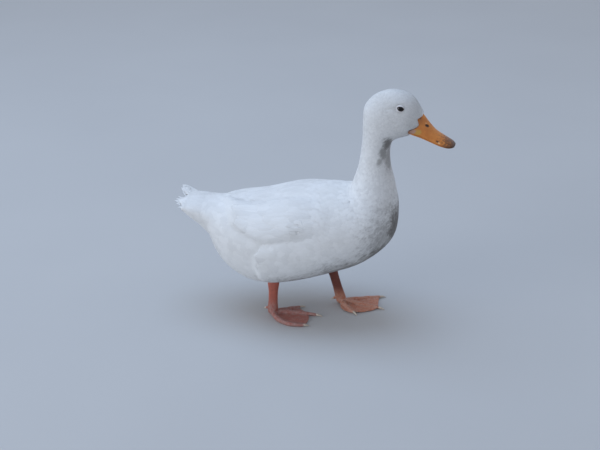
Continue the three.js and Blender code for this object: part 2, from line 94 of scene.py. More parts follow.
# %% [markdown]
# ## The measuring frame
#
# The solids were measured from a point between the feet, and then moved so that the origin is the middle
# of the whole duck. The tables below are in that first frame, in millimetres. The bill's tip and the
# neck, which is even on both sides, tell how far it was moved, so nothing has to be fitted by eye.

# %% From the measuring frame to the scene
MM = 0.001
BILL_TIP = 214.5
neck_low, neck_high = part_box("neck")
origin = np.array([BILL_TIP * MM - cad_high.x, -(neck_low.y + neck_high.y) / 2, 0.0])


def to_scene(points):
    """Points in millimetres in the measuring frame, as metres in the scene."""
    return np.asarray(points, float) * MM - origin


def scene_mm(point):
    """Scene points back in millimetres in the measuring frame."""
    return (np.array(point) + origin) / MM


def unit(vectors):
    return vectors / np.maximum(np.linalg.norm(vectors, axis=-1, keepdims=True), 1e-12)


def ease(value, start, end):
    """0 before start, 1 after end and a soft step between them."""
    t = np.clip((value - start) / (end - start), 0, 1)
    return t * t * (3 - 2 * t)


def bell(value):
    """1 at 0, and falling softly to nothing on both sides."""
    return np.exp(-(value**2))


def turn_round(sides):
    """Angles all the way round, in even steps."""
    return np.arange(sides) * 2 * math.pi / sides


print("measuring frame's origin in the scene:", -origin)

# %% [markdown]
# ## The body's skin
#
# A duck's plumage makes one smooth form, so one skin runs from the tail to the bill. It could be
# sculpted, or joined from the solids by remeshing. Here it is drawn again from the same ribs as the
# solids, because then every point of it has a station (0 at the tail, 19 at the bill) and an angle (0
# on the back, 180 on the belly), and feathers, creases and stains can be placed by those two numbers.

# %% Ribs, from the root of the tail to the root of the bill
# Each row: back x and z, belly x and z, half width, height of the widest point as a share.
RIBS = np.array(
    [
        (-180, 172, -181, 156, 33, 0.5),
        (-164, 174, -167, 138, 36, 0.6),
        (-147, 174.5, -143, 119, 39, 0.6),
        (-126, 176, -131, 88.5, 48, 0.56),
        (-98, 180, -106, 63, 62, 0.54),
        (-60, 187, -66, 48.5, 73, 0.54),
        (-15, 202, -10, 57, 77, 0.52),
        (28, 209, 43, 74, 75, 0.5),
        (55, 210, 93, 97, 67, 0.48),
        (66, 213, 130, 134, 55, 0.47),
        (71, 225, 137, 179, 39, 0.48),
        (77, 245, 131.5, 215, 27, 0.5),
        (80, 265, 124, 245, 21, 0.5),
        (82, 289, 122, 268, 20.5, 0.5),
        (82, 313, 125, 282, 22, 0.5),
        (85, 335, 133, 288, 24, 0.52),
        (102, 353, 142, 291, 24, 0.54),
        (128, 360, 150, 294, 22.5, 0.52),
        (152, 352, 156, 299, 18.5, 0.48),
        (168, 328.5, 164.5, 305, 12.5, 0.45),
    ]
)
LAST = len(RIBS) - 1
HEAD, FACE = 14.3, 17  # stations where these begin
print("ribs:", len(RIBS), "- the widest:", 2 * RIBS[:, 4].max(), "mm")

# %% The smooth surface between the ribs
def spline(table, place):
    """A smooth curve through the rows of a table, read at places counted in rows."""
    table = np.asarray(table, float)
    last = len(table) - 1
    place = np.clip(np.asarray(place, float), 0, last)
    row = np.minimum(np.floor(place).astype(int), last)
    t = (place - row)[..., None]
    p0, p1, p2, p3 = (table[np.clip(row + step, 0, last)] for step in (-1, 0, 1, 2))
    v0, v1 = (p2 - p0) / 2, (p3 - p1) / 2
    return (2 * p1 - 2 * p2 + v0 + v1) * t**3 + (-3 * p1 + 3 * p2 - 2 * v0 - v1) * t**2 + v0 * t + p1


def rib_point(station, turn):
    """A point of the rib at a station. turn is in radians from the back's ridge towards the left."""
    rib = spline(RIBS, station)
    back, belly = rib[..., 0:2], rib[..., 2:4]
    half, widest = rib[..., 4], rib[..., 5]
    rise = np.cos(turn)
    share = widest + rise * np.where(rise > 0, 1 - widest, widest)
    middle = belly + (back - belly) * share[..., None]
    return np.stack([middle[..., 0], half * np.sin(turn), middle[..., 1]], -1)


def rib_ways(station, turn, small):
    """How a rib's point moves with its station and with its turn, over small steps of both."""
    ahead = rib_point(station + small, turn) - rib_point(station - small, turn)
    beside = rib_point(station, turn + small) - rib_point(station, turn - small)
    return ahead / (2 * small), beside / (2 * small)


def rib_normal(station, turn):
    return unit(np.cross(*rib_ways(station, turn, 0.02)))


print("the breast faces", rib_normal(np.array([8.0]), np.array([math.pi])).round(2))

# %% [markdown]
# The folded wings and the thighs swell the body's side. Each is a low mound with edges given as a
# station and two angles. The same mounds are in the solids; here their rims are softened, because
# feathers, not a step in the skin, make a wing's edge. Only at the ridge of the back, where the wing's
# tip ends, does a step remain.

# %% Wings and thighs as mounds on the skin
# Each row: station, upper and lower angle.
WING_EDGES = np.array(
    [
        (3.15, 3, 9),
        (3.6, 6, 36),
        (4.1, 9, 62),
        (4.8, 14, 73),
        (5.6, 20, 84),
        (6.5, 26, 86),
        (7.2, 36, 78),
        (7.5, 50, 66),
    ]
)
THIGH_EDGES = np.array(
    [(5.0, 96, 136), (5.3, 82, 156), (5.9, 68, 166), (6.6, 63, 162), (7.4, 76, 146), (8.0, 98, 122)]
)
WING_LIFT, THIGH_LIFT, MOUND_RIM = 4.6, 7.5, 1.4
LEFT_THIGH_SHIFT = 0.5  # the left leg is forward


def mound_place(edges, station, angle):
    """Where a skin point lies on a mound: from 0 to 1 along it and from 0 to 1 across it."""
    row = np.interp(station, edges[:, 0], np.arange(len(edges)))
    upper, lower = np.moveaxis(spline(edges[:, 1:], row), -1, 0)
    return row / (len(edges) - 1), (angle - upper) / np.maximum(lower - upper, 1e-6)


def half_turns(turn):
    """A turn brought between half a turn to the right and half a turn to the left."""
    return (turn + math.pi) % (2 * math.pi) - math.pi


def dome(t):
    """0 at 0 and 1, and 1 halfway."""
    return np.sin(np.pi * np.clip(t, 0, 1))


def mound_lift(station, turn):
    """How far wings and thighs lift the skin, in millimetres."""
    turn = half_turns(turn)
    angle = np.abs(np.degrees(turn))
    along, across = mound_place(WING_EDGES, station, angle)
    soft = ease(along, 0.08, 0.2) * (1 - ease(along, 0.35, 0.6))
    rim = ease(across / (0.12 + 0.22 * soft), -0.1, 1) * ease(-along, -1, -0.6)
    soft_from = np.where(turn > 0, 26, 8)  # the left tip lies over the right one
    rim = rim * ease(along / (0.04 + 0.25 * ease(angle, soft_from, soft_from + 16)), 0, 1)
    rim = rim * ease((1.02 - across) / (0.14 + 0.4 * ease(along, 0.5, 0.8)), 0, 1)
    wing = (WING_LIFT * dome(along) ** 0.8 * dome(across) ** 0.7 + MOUND_RIM) * rim
    along, across = mound_place(THIGH_EDGES, station - np.where(turn > 0, LEFT_THIGH_SHIFT, 0), angle)
    rim = ease(along / (0.05 + 0.12 * ease(angle, 90, 115)), 0, 1) * ease(-across, -1.02, -0.5)
    rim = rim * ease((across + 0.02) / (0.17 + 0.4 * ease(along, 0.2, 0.6)), 0, 1)
    hind = ease(along, 0, 0.12) * (1 - ease(along, 0.25, 1))
    thigh = (THIGH_LIFT * hind * dome(across) ** 0.6 + MOUND_RIM * (1 - ease(along, 0.2, 0.7))) * rim
    return np.maximum(np.maximum(wing, thigh), 0)


lifts = mound_lift(np.array([5.3, 5.8]), np.radians([-50.0, -120.0]))
print("lift of the right wing and thigh:", lifts.round(1), "mm")

# %% [markdown]
# The head needs more than ribs. The eye sits in a shallow orbit under a brow, a crease runs back from
# it, the cheek is full, and in front the skin dips under the bill along the feather line, which bends
# back to the corner of the mouth.

# %% The coat's depth and the shape of the face
EYES = {side: scene_mm(sum(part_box(f"eye_{side}"), Vector()) / 2) for side in ("left", "right")}
EYE_RADIUS = (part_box("eye_right")[1].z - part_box("eye_right")[0].z) / 2 / MM
# Height and x of the edge between feathers and bill.
FEATHER_LINE = np.array(
    [
        (296, 146),
        (304.9, 149.7),
        (306.8, 154.5),
        (308.6, 158.7),
        (311, 162),
        (313.6, 163.2),
        (319, 162.2),
        (322.5, 160.8),
        (324.5, 165),
        (329, 170),
    ]
)
FORELOCK = dict(reach=6.5, wide=3.8)  # the feathers' point on the ridge of the bill
ORBIT = dict(deep=1.0, reach=8.5)
CREASE = dict(deep=1.1, wide=1.4, long=24, drop=3.0)
CHEEK = dict(rise=0.8, at=(135, 312), reach=13)
BROW = dict(rise=0.5, above=8, high=3.5, long=10)
# Stations, and how far the skin lies inside the plumage's surface there.
COAT_DEPTH = [(0, 1.6), (1, 3), (3, 3.4), (7, 3.4), (9.5, 3)]
COAT_DEPTH += [(11, 2.4), (13, 1.9), (15, 1.4), (18, 0.9), (19, 0.5)]
UNDER_BILL = 4.8  # how deep the skin sinks under the bill, in millimetres


def bill_front(point):
    """Millimetres in front of the feather line, on any point of the face."""
    lock = FORELOCK["reach"] * bell(point[..., 1] / FORELOCK["wide"]) * ease(point[..., 2], 316, 322)
    return point[..., 0] - np.interp(point[..., 2], FEATHER_LINE[:, 0], FEATHER_LINE[:, 1]) - lock


def coat_depth(station):
    """How far the skin lies inside the plumage's surface, in millimetres."""
    return np.interp(station, *zip(*COAT_DEPTH))


def face_relief(point, turn):
    """Orbit, crease and cheek as a height over the ribs' surface, in millimetres."""
    x, z = point[..., 0] - EYES["right"][0], point[..., 2] - EYES["right"][2]
    side = ease(np.abs(np.sin(turn)), 0.5, 0.8)
    orbit = -ORBIT["deep"] * np.exp(-((np.hypot(x, z) / ORBIT["reach"]) ** 2) * 1.6)
    along = ease(-x, 3, 7) * (1 - ease(-x, CREASE["long"] * 0.6, CREASE["long"]))
    off = z + CREASE["drop"] * (x / CREASE["long"]) ** 2 - 0.6
    crease = -CREASE["deep"] * along * bell(off / CREASE["wide"])
    brow = BROW["rise"] * bell((z - BROW["above"]) / BROW["high"]) * bell(x / BROW["long"])
    from_cheek = np.hypot(point[..., 0] - CHEEK["at"][0], point[..., 2] - CHEEK["at"][1])
    return side * (orbit + crease + brow + CHEEK["rise"] * bell(from_cheek / CHEEK["reach"]))


def skin_point(station, turn, over=0.0):
    """A point of the skin in the measuring frame, raised by over, in millimetres."""
    station, turn = np.broadcast_arrays(np.asarray(station, float), np.asarray(turn, float))
    base = rib_point(station, turn)
    lift = mound_lift(station, turn) - coat_depth(station)
    lift = lift + np.where(station > HEAD, face_relief(base, turn), 0)
    # In front of the feather line the skin sinks under the bill.
    sunk = np.where(station > FACE, UNDER_BILL * ease(bill_front(base), -0.2, 1.4), 0)
    return base + rib_normal(station, turn) * (lift - sunk + over)[..., None]


print("eyes at", {side: place.round(1).tolist() for side, place in EYES.items()}, "mm")

# %% Skin mesh
RINGS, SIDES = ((LAST * 12, 120))


def shown(name, data):
    """An object with its data, linked to the scene."""
    made = bpy.data.objects.new(name, data)
    bpy.context.scene.collection.objects.link(made)
    return made


def mesh_object(name, points, faces, smooth=True):
    """A mesh object at the scene's origin, from points in metres."""
    mesh = bpy.data.meshes.new(name)
    mesh.from_pydata(np.asarray(points).tolist(), [], [list(f) for f in faces])
    mesh.validate()
    if smooth:
        mesh.shade_smooth()
    return shown(name, mesh)


def tube_points(rings):
    """The points of a tube's rings, with the middles of its two ends."""
    rings = np.asarray(rings)
    return np.concatenate([rings.reshape(-1, 3), rings[0].mean(0)[None], rings[-1].mean(0)[None]])


def tube_faces(rings, sides):
    """Quads of a closed tube of rings, with each end closed by one more point at its middle."""
    i, j = (n.ravel() for n in np.meshgrid(np.arange(rings - 1), np.arange(sides), indexing="ij"))
    k = (j + 1) % sides
    quads = np.stack([i * sides + j, (i + 1) * sides + j, (i + 1) * sides + k, i * sides + k], 1)
    faces = [tuple(q) for q in quads]
    hub, end = rings * sides, (rings - 1) * sides
    faces += [(hub, n, (n + 1) % sides) for n in range(sides)]
    return faces + [(hub + 1, end + (n + 1) % sides, end + n) for n in range(sides)]


stations = np.linspace(0, LAST, RINGS + 1)
grid_station, grid_turn = np.meshgrid(stations, turn_round(SIDES), indexing="ij")
skin_rings = skin_point(grid_station, grid_turn)
skin = mesh_object("skin", to_scene(tube_points(skin_rings)), tube_faces(RINGS + 1, SIDES))
print("skin:", len(skin.data.polygons), "faces")

# %% [markdown]
# ## What the skin tells the feathers
#
# Feathers need to know which way to lie, how long they are and how far they stand off. These numbers
# are stored on the skin's points, so that whatever grows there can read them. The unwrap is the skin's
# own: along it from tail to bill, and round it from the belly's seam.

# %% Numbers on the skin's points
# Each row: station, then length, width and height of the tips over the skin, in millimetres.
FEATHER_SIZES = np.array(
    [
        (0.0, 9, 7, 1.4),
        (0.8, 18, 11, 2.5),
        (1.6, 25, 14, 3.0),
        (3.5, 27, 15, 3.3),
        (6.0, 26, 14, 3.4),
        (8.0, 22, 12, 3.3),
        (9.5, 17, 8.5, 3.0),
        (11.0, 13, 5.6, 2.4),
        (13.0, 9.5, 4.0, 1.9),
        (15.0, 7.0, 3.0, 1.4),
        (17.0, 4.8, 2.1, 1.0),
        (18.3, 3.3, 1.5, 0.7),
        (19.0, 2.6, 1.2, 0.5),
    ]
)


def store(mesh, name, values, domain="POINT"):
    """Keeps a number or a vector for each point, or corner, of a mesh."""
    values = np.ascontiguousarray(values, np.float32)
    kind, field = ("FLOAT", "value") if values.ndim == 1 else ("FLOAT_VECTOR", "vector")
    mesh.attributes.new(name, kind, domain).data.foreach_set(field, values.ravel())


def read(items, field, width=1, kind=np.float32):
    """One field of all points, corners or faces, as an array."""
    values = np.empty(len(items) * width, kind)
    items.foreach_get(field, values)
    return values.reshape(-1, width) if width > 1 else values


def on_skin(values):
    """Values on the skin's grid, with those of the two end points."""
    flat = values.reshape(-1, *values.shape[2:])
    return np.concatenate([flat, flat[:1], flat[-1:]])


# Long feathers, laid later, cover the folded wing, so the coat lies low under them.
along, across = mound_place(WING_EDGES, grid_station, np.abs(np.degrees(half_turns(grid_turn))))
under_wing = ease(along, 0.22, 0.4) * (1 - ease(along, 0.68, 0.9))
under_wing *= ease(across, -0.02, 0.1) * (1 - ease(across, 0.8, 0.96))
for number, name, share in ((1, "long", 1), (2, "wide", 1), (3, "rise", 1 - 0.45 * under_wing)):
    sizes = np.interp(grid_station, FEATHER_SIZES[:, 0], FEATHER_SIZES[:, number]) * share
    store(skin.data, name, on_skin(sizes * MM))
store(skin.data, "station", on_skin(grid_station))
lie = skin_point(grid_station - 0.05, grid_turn) - skin_point(grid_station + 0.05, grid_turn)
store(skin.data, "lie", on_skin(unit(lie)))  # from the bill to the tail along the skin
store(skin.data, "skin_normal", read(skin.data.vertices, "normal", 3))

# Bare places: the eyes, and what lies under the bill.
eye_gap = np.min([np.linalg.norm(skin_rings - eye, axis=-1) for eye in EYES.values()], axis=0)
under_bill = ease(bill_front(skin_rings), -0.8, 0.2) * (grid_station > FACE)
store(skin.data, "cover", on_skin(ease(eye_gap, EYE_RADIUS - 0.2, EYE_RADIUS + 0.3) * (1 - under_bill)))


def unwrap(mesh):
    """The skin's own unwrap: u along it and v round it, cut along the belly."""
    corners = read(mesh.loops, "vertex_index", kind=np.int32)
    ring, side = np.divmod(corners, SIDES)
    ends = (RINGS + 1) * SIDES
    ring = np.where(corners >= ends, (corners - ends) * RINGS, ring)
    v = np.where(corners >= ends, 0.5, ((side + SIDES / 2) % SIDES) / SIDES)
    # Faces across the seam get their far corners one turn on.
    counts = read(mesh.polygons, "loop_total", kind=np.int32)
    starts = np.concatenate([[0], np.cumsum(counts)[:-1]])
    seam = np.maximum.reduceat(v, starts) - np.minimum.reduceat(v, starts) > 0.6
    v = np.where(np.repeat(seam, counts) & (v < 0.3), v + 1, v)
    places = np.stack([ring / RINGS, v], 1) * 0.96 + 0.02
    mesh.uv_layers.new(name="OFBake").uv.foreach_set("vector", places.astype(np.float32).ravel())
    store(mesh, "root_place", np.pad(places, ((0, 0), (0, 1))), "CORNER")


unwrap(skin.data)
print("skin carries:", [a.name for a in skin.data.attributes if not a.name.startswith(".")])

# %% [markdown]
# ## Vanes
#
# A contour feather is a soft vane, widest past its middle, whose end frays into barbs. One flat vane a
# unit long and a unit wide is drawn in a few variants, and every feather of the coat is one of them,
# stretched to its own size. Each point keeps its place on the vane, which the wiring and the materials
# read later.

# %% Vane shapes
VANE_TIP = 0.45  # from here on a vane narrows to its tip


def vane_mesh(name, columns, rows, fray, seed):
    """A flat vane along +Y with its root at the origin. Its last row is split into barbs."""
    draw = np.random.default_rng(seed)
    points, faces = [], []
    across = np.linspace(-0.5, 0.5, columns + 1)
    for r in range(rows + 1):
        y = r / rows * (1 - fray)
        end = math.sqrt(max(0.0, 1 - (max(0.0, y - VANE_TIP) / (1.02 - VANE_TIP)) ** 2))
        half = (0.14 + 0.86 * ease(y, -0.05, 0.5)) * end
        points += [(x * half, y - 0.10 * (2 * x) ** 2 * y, 0) for x in across]
    for r in range(rows):
        for c in range(columns):
            a = r * (columns + 1) + c
            faces.append((a, a + 1, a + columns + 2, a + columns + 1))
    last = rows * (columns + 1)
    for c in range(columns):
        left, right = points[last + c], points[last + c + 1]
        reach = fray * (0.55 + 0.45 * math.cos(2.2 * across[c] + 1.1 / columns)) * draw.uniform(0.6, 1.15)
        middle = (left[0] + right[0]) / 2
        points.append((middle * draw.uniform(0.85, 1.05), (left[1] + right[1]) / 2 + reach, 0))
        faces.append((last + c, last + c + 1, len(points) - 1))
    mesh = bpy.data.meshes.new(name)
    mesh.from_pydata(points, [], faces)
    mesh.shade_smooth()
    store(mesh, "vane_place", np.array(points))
    return mesh


def vane_set(name, variants, **shape):
    """A collection of vane variants, kept out of the scene. The wiring picks from it."""
    kept = bpy.data.collections.new(name)
    for number in range(variants):
        label = f"{name}_{number}"
        kept.objects.link(bpy.data.objects.new(label, vane_mesh(label, seed=number, **shape)))
    return kept


tuft_set = vane_set("tuft", 3, columns=2, rows=2, fray=0.35)
plume_set = vane_set("plume", 4, columns=6, rows=3, fray=0.16)
contour_set = vane_set("contour", 5, columns=8, rows=5, fray=0.09)

# %% [markdown]
# ## Laying feathers by Geometry Nodes
#
# The wiring below is used for every part of the coat. It strews roots evenly over a stretch of the
# skin, sets a vane on each with its own size and a small turn, makes all of them real, and then bends
# each vane to the skin: a point of a vane moves to the nearest place on the skin and up from there, low
# at the root and highest at the tip. So feathers overlap like tiles and never cut into the body, on a
# round breast and in the hollow of the neck alike.

# %% Helpers for wiring nodes
def join(tree, socket, value):
    """Joins a node's input to another node's socket, or sets it to a plain value."""
    if isinstance(value, bpy.types.NodeSocket):
        tree.links.new(value, socket)
    else:
        socket.default_value = value


def add_node(tree, kind, inputs=None, **settings):
    """A node with its settings, its inputs set to values or joined to sockets."""
    made = tree.nodes.new(kind)
    for name, value in settings.items():
        setattr(made, name, value)
    for name, value in (inputs or {}).items():
        join(tree, made.inputs[name], value)
    return made


def new_group(name, kind, inputs, outputs):
    """An empty node group, with what it is given and where its results go."""
    tree = bpy.data.node_groups.new(name, f"{kind}NodeTree")
    for label, form, value in inputs:
        socket = tree.interface.new_socket(label, in_out="INPUT", socket_type=f"NodeSocket{form}")
        if value is not None:
            socket.default_value = value
    for label, form in outputs:
        tree.interface.new_socket(label, in_out="OUTPUT", socket_type=f"NodeSocket{form}")
    return tree, tree.nodes.new("NodeGroupInput").outputs, tree.nodes.new("NodeGroupOutput").inputs


def maths(tree, operation, *values):
    return add_node(tree, "ShaderNodeMath", dict(enumerate(values)), operation=operation).outputs[0]


def vectors(tree, operation, *values):
    inputs = dict(enumerate(values))
    if operation == "SCALE":
        inputs["Scale"] = inputs.pop(1)
    made = add_node(tree, "ShaderNodeVectorMath", inputs, operation=operation)
    return made.outputs["Value" if operation == "LENGTH" else "Vector"]


def attribute(tree, name, kind="FLOAT"):
    made = add_node(tree, "GeometryNodeInputNamedAttribute", {"Name": name}, data_type=kind)
    return made.outputs["Attribute"]


def random_value(tree, low, high, seed):
    made = add_node(tree, "FunctionNodeRandomValue", {2: low, 3: high, "Seed": seed}, data_type="FLOAT")
    return made.outputs[1]


# %% The wiring that lays feathers
LAY_INPUTS = [
    ("Skin", "Object", None),
    ("Vanes", "Collection", None),
    ("Root depth", "Float", 0.0006),
    ("Crown", "Float", 0.012),
    ("Sway", "Float", 0.08),
    ("Ruffle", "Float", 0.08),
    ("Seed", "Int", 0),
    ("Finish", "Material", None),
]


def laying_tree():
    """Points with lie, long, wide and rise become feathers on the skin."""
    inputs = [("Points", "Geometry", None), *LAY_INPUTS]
    tree, given, result = new_group("lay_feathers", "Geometry", inputs, [("Feathers", "Geometry")])
    seed = given["Seed"]
    normal = attribute(tree, "skin_normal", "FLOAT_VECTOR")
    lie = attribute(tree, "lie", "FLOAT_VECTOR")
    side = vectors(tree, "CROSS_PRODUCT", normal, lie)
    sway = maths(tree, "MULTIPLY", given["Sway"], random_value(tree, -1, 1, seed))
    sway = vectors(tree, "SCALE", side, sway)
    turned = add_node(
        tree,
        "FunctionNodeAxesToRotation",
        {"Primary Axis": normal, "Secondary Axis": vectors(tree, "ADD", lie, sway)},
        primary_axis="Z",
        secondary_axis="Y",
    )
    size = random_value(tree, 0.9, 1.12, maths(tree, "ADD", seed, 1.0))
    scale = add_node(
        tree,
        "ShaderNodeCombineXYZ",
        {
            "X": maths(tree, "MULTIPLY", attribute(tree, "wide"), size),
            "Y": maths(tree, "MULTIPLY", attribute(tree, "long"), size),
            "Z": 1.0,
        },
    )
    named = given["Points"]
    ruffle = random_value(tree, 0, 1, maths(tree, "ADD", seed, 2.0))
    ruffle = maths(tree, "MULTIPLY_ADD", ruffle, given["Ruffle"], 1.0)
    lift = maths(tree, "MULTIPLY", attribute(tree, "rise"), ruffle)
    tone = random_value(tree, -1, 1, maths(tree, "ADD", seed, 3.0))
    for name, value in (("lift", lift), ("tone", tone)):
        named = add_node(
            tree,
            "GeometryNodeStoreNamedAttribute",
            {"Geometry": named, "Name": name, "Value": value},
            data_type="FLOAT",
            domain="POINT",
        ).outputs["Geometry"]
    kept = {"Collection": given["Vanes"], "Separate Children": True}
    choice = add_node(tree, "GeometryNodeCollectionInfo", kept)
    placed = add_node(
        tree,
        "GeometryNodeInstanceOnPoints",
        {
            "Points": named,
            "Instance": choice.outputs["Instances"],
            "Pick Instance": True,
            "Instance Index": add_node(tree, "GeometryNodeInputIndex").outputs["Index"],
            "Rotation": turned.outputs["Rotation"],
            "Scale": scale.outputs["Vector"],
        },
    )
    real = add_node(tree, "GeometryNodeRealizeInstances", {"Geometry": placed.outputs["Instances"]})
    # Bend each vane to the skin.
    body = add_node(tree, "GeometryNodeObjectInfo", {"Object": given["Skin"]}, transform_space="ORIGINAL")
    nearest = []
    for value in (add_node(tree, "GeometryNodeInputPosition").outputs["Position"], normal):
        sample = add_node(
            tree,
            "GeometryNodeSampleNearestSurface",
            {"Mesh": body.outputs["Geometry"], "Value": value},
            data_type="FLOAT_VECTOR",
        )
        nearest.append(sample.outputs["Value"])
    on_vane = attribute(tree, "vane_place", "FLOAT_VECTOR")
    place = add_node(tree, "ShaderNodeSeparateXYZ", {"Vector": on_vane})
    reach = maths(tree, "MAXIMUM", place.outputs["Y"], 0.0)
    droop = maths(tree, "MULTIPLY", maths(tree, "POWER", reach, 8.0), 0.09)
    along = maths(tree, "SUBTRACT", maths(tree, "POWER", reach, 0.18), droop)
    rise = maths(tree, "MULTIPLY", along, maths(tree, "ADD", attribute(tree, "lift"), given["Root depth"]))
    crown = maths(tree, "MULTIPLY", maths(tree, "MULTIPLY", place.outputs["X"], place.outputs["X"]), -4.0)
    crown = maths(tree, "MULTIPLY", crown, maths(tree, "MULTIPLY", attribute(tree, "wide"), given["Crown"]))
    height = maths(tree, "SUBTRACT", maths(tree, "ADD", rise, crown), given["Root depth"])
    up = vectors(tree, "SCALE", vectors(tree, "NORMALIZE", nearest[1]), height)
    moved = {"Geometry": real.outputs["Geometry"], "Position": vectors(tree, "ADD", nearest[0], up)}
    bent = add_node(tree, "GeometryNodeSetPosition", moved)
    dressed = {"Geometry": bent.outputs["Geometry"], "Material": given["Finish"]}
    feathers = add_node(tree, "GeometryNodeSetMaterial", dressed)
    join(tree, result["Feathers"], feathers.outputs["Geometry"])
    return tree


LAYING = laying_tree()
print("wiring that lays feathers:", len(LAYING.nodes), "nodes")

# %% The wiring that grows a coat
def coat_tree(laying):
    """A stretch of the skin becomes a coat of feathers."""
    inputs = [
        ("Skin mesh", "Geometry", None),
        ("From", "Float", 0.0),
        ("To", "Float", 1.0),
        ("Spacing", "Float", 0.004),
        *LAY_INPUTS,
    ]
    tree, given, result = new_group("grow_coat", "Geometry", inputs, [("Coat", "Geometry")])
    station = attribute(tree, "station")
    after = maths(tree, "GREATER_THAN", station, given["From"])
    before = maths(tree, "LESS_THAN", station, given["To"])
    inside = maths(tree, "MULTIPLY", after, before)
    strewn = add_node(
        tree,
        "GeometryNodeDistributePointsOnFaces",
        {
            "Mesh": given["Skin mesh"],
            "Distance Min": given["Spacing"],
            "Seed": given["Seed"],
            "Density Factor": maths(tree, "MULTIPLY", inside, attribute(tree, "cover")),
            "Density Max": 4e6,
        },
        distribute_method="POISSON",
    )
    passed_on = {name: given[name] for name, _, _ in LAY_INPUTS}
    lay = add_node(tree, "GeometryNodeGroup", node_tree=laying)
    for name, value in {"Points": strewn.outputs["Points"], **passed_on}.items():
        join(tree, lay.inputs[name], value)
    join(tree, result["Coat"], lay.outputs["Feathers"])
    return tree


COAT = coat_tree(LAYING)
print("wiring that grows a coat:", len(COAT.nodes), "nodes")

# %% [markdown]
# ## Growing a piece of coat
#
# A modifier on a copy of the skin runs the wiring. Its inputs are set before it is first looked at, its
# result is turned into a plain mesh, and the modifier goes. Each feather then gets its own small patch
# in the bake map, at its root's place on the skin's unwrap.

# %% Run a tree and keep its mesh
PATCH = 0.003  # a feather's patch in the bake map


def grown_mesh(host, tree, inputs):
    """The plain mesh that a node tree makes on a host object, which is then removed."""
    modifier = host.modifiers.new("grow", "NODES")
    modifier.node_group = tree
    for item in tree.interface.items_tree:
        if item.in_out == "INPUT" and item.name in inputs:
            modifier[item.identifier] = inputs[item.name]
    view = bpy.context.evaluated_depsgraph_get()
    view.update()
    grown = host.evaluated_get(view)
    mesh = bpy.data.meshes.new_from_object(grown, preserve_all_data_layers=True, depsgraph=view)
    host.modifiers.remove(modifier)
    bpy.data.objects.remove(host)
    return mesh


def stretched(values):
    """Values spread, column by column, to fill the bake map between two narrow margins."""
    low, high = values.min(0), values.max(0)
    return 0.01 + 0.98 * (values - low) / np.maximum(high - low, 1e-9)


def patch_uv(mesh, roots):
    """A bake patch for each feather: its place on the vane, small, round its root's place."""
    place = read(mesh.attributes["vane_place"].data, "vector", 3)[:, :2] - (0.0, 0.5)
    corners = read(mesh.loops, "vertex_index", kind=np.int32)
    for layer in list(mesh.uv_layers):
        mesh.uv_layers.remove(layer)
    layer = mesh.uv_layers.new(name="OFBake")
    patches = (stretched(roots) + place * PATCH)[corners]
    layer.uv.foreach_set("vector", patches.astype(np.float32).ravel())
    mesh.uv_layers.active = layer


def keep_only(mesh, names):
    """Drops what a mesh carries on its points and corners but for the names given."""
    for name in [a.name for a in mesh.attributes if a.name not in names and not a.name.startswith(".")]:
        layer = mesh.attributes.get(name)
        if layer and not layer.is_required and name not in mesh.uv_layers:
            mesh.attributes.remove(layer)


def worn(made):
    """An object as a piece of the duck, riding on its one body."""
    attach(made, "root")
    print(f"{made.name}: {len(made.data.polygons)} faces")
    return made


def grow_coat(name, start, end, spacing, vanes, finish, **shape):
    """A stretch of coat between two stations, with feathers at least spacing millimetres apart."""
    host = skin.copy()
    bpy.context.scene.collection.objects.link(host)
    inputs = {"From": start, "To": end, "Spacing": spacing * MM, "Skin": skin, "Vanes": vanes}
    mesh = grown_mesh(host, COAT, {**inputs, "Finish": finish, **shape})
    patch_uv(mesh, read(mesh.attributes["root_place"].data, "vector", 3)[:, :2])
    keep_only(mesh, ("vane_place", "tone", "OFBake"))
    mesh.materials.clear()
    mesh.materials.append(finish)
    mesh.name = name
    return worn(shown(name, mesh))


# %% [markdown]
# ## Plumage's finish
#
# White feathers aren't one white. They are faintly warm, vary a little from feather to feather, are
# soiled where the duck has been dabbling, and each vane has a shaft with fine slanting barbs. Shade is
# painted into the same marks: the throat under the cheek and the breast and belly are darkened. The
# marks belong to the place on the body, so one node group gives them to the skin and to every feather.
# The barbs belong to the vane, so they read each point's place on its vane.

# %% Helpers for finishes
def mix_colour(tree, factor, one, two, blend="MIX"):
    """Two colours mixed. A plain colour is given as red, green and blue."""
    made = add_node(tree, "ShaderNodeMix", {0: factor}, data_type="RGBA", blend_type=blend)
    for number, value in ((6, one), (7, two)):
        join(tree, made.inputs[number], (*value, 1.0) if isinstance(value, tuple) else value)
    return made.outputs[2]


def noise(tree, vector, scale, detail=3.0, roughness=0.5):
    inputs = {"Vector": vector, "Scale": scale, "Detail": detail, "Roughness": roughness}
    return add_node(tree, "ShaderNodeTexNoise", inputs).outputs["Fac"]


def step(tree, value, start, end):
    """A soft step from 0 at start to 1 at end."""
    inputs = {"Value": value, "From Min": start, "From Max": end}
    made = add_node(tree, "ShaderNodeMapRange", inputs, interpolation_type="SMOOTHSTEP")
    return made.outputs["Result"]


def point_mark(tree, name, output="Fac"):
    """A number, or a vector, that is kept on the mesh's points."""
    return add_node(tree, "ShaderNodeAttribute", attribute_name=name).outputs[output]


# %% Node group: marks on the body
WHITE = (0.80, 0.79, 0.765)
SHADE_WHITE = (0.66, 0.64, 0.60)
# the colour of dirt, also used for the painted shade
STAIN_AND_SHADE_COLOUR = (0.105, 0.09, 0.075)
STREAK_TILT = math.radians(-35)  # on the breast, wet soil and the painted shade run back and down along the feathers
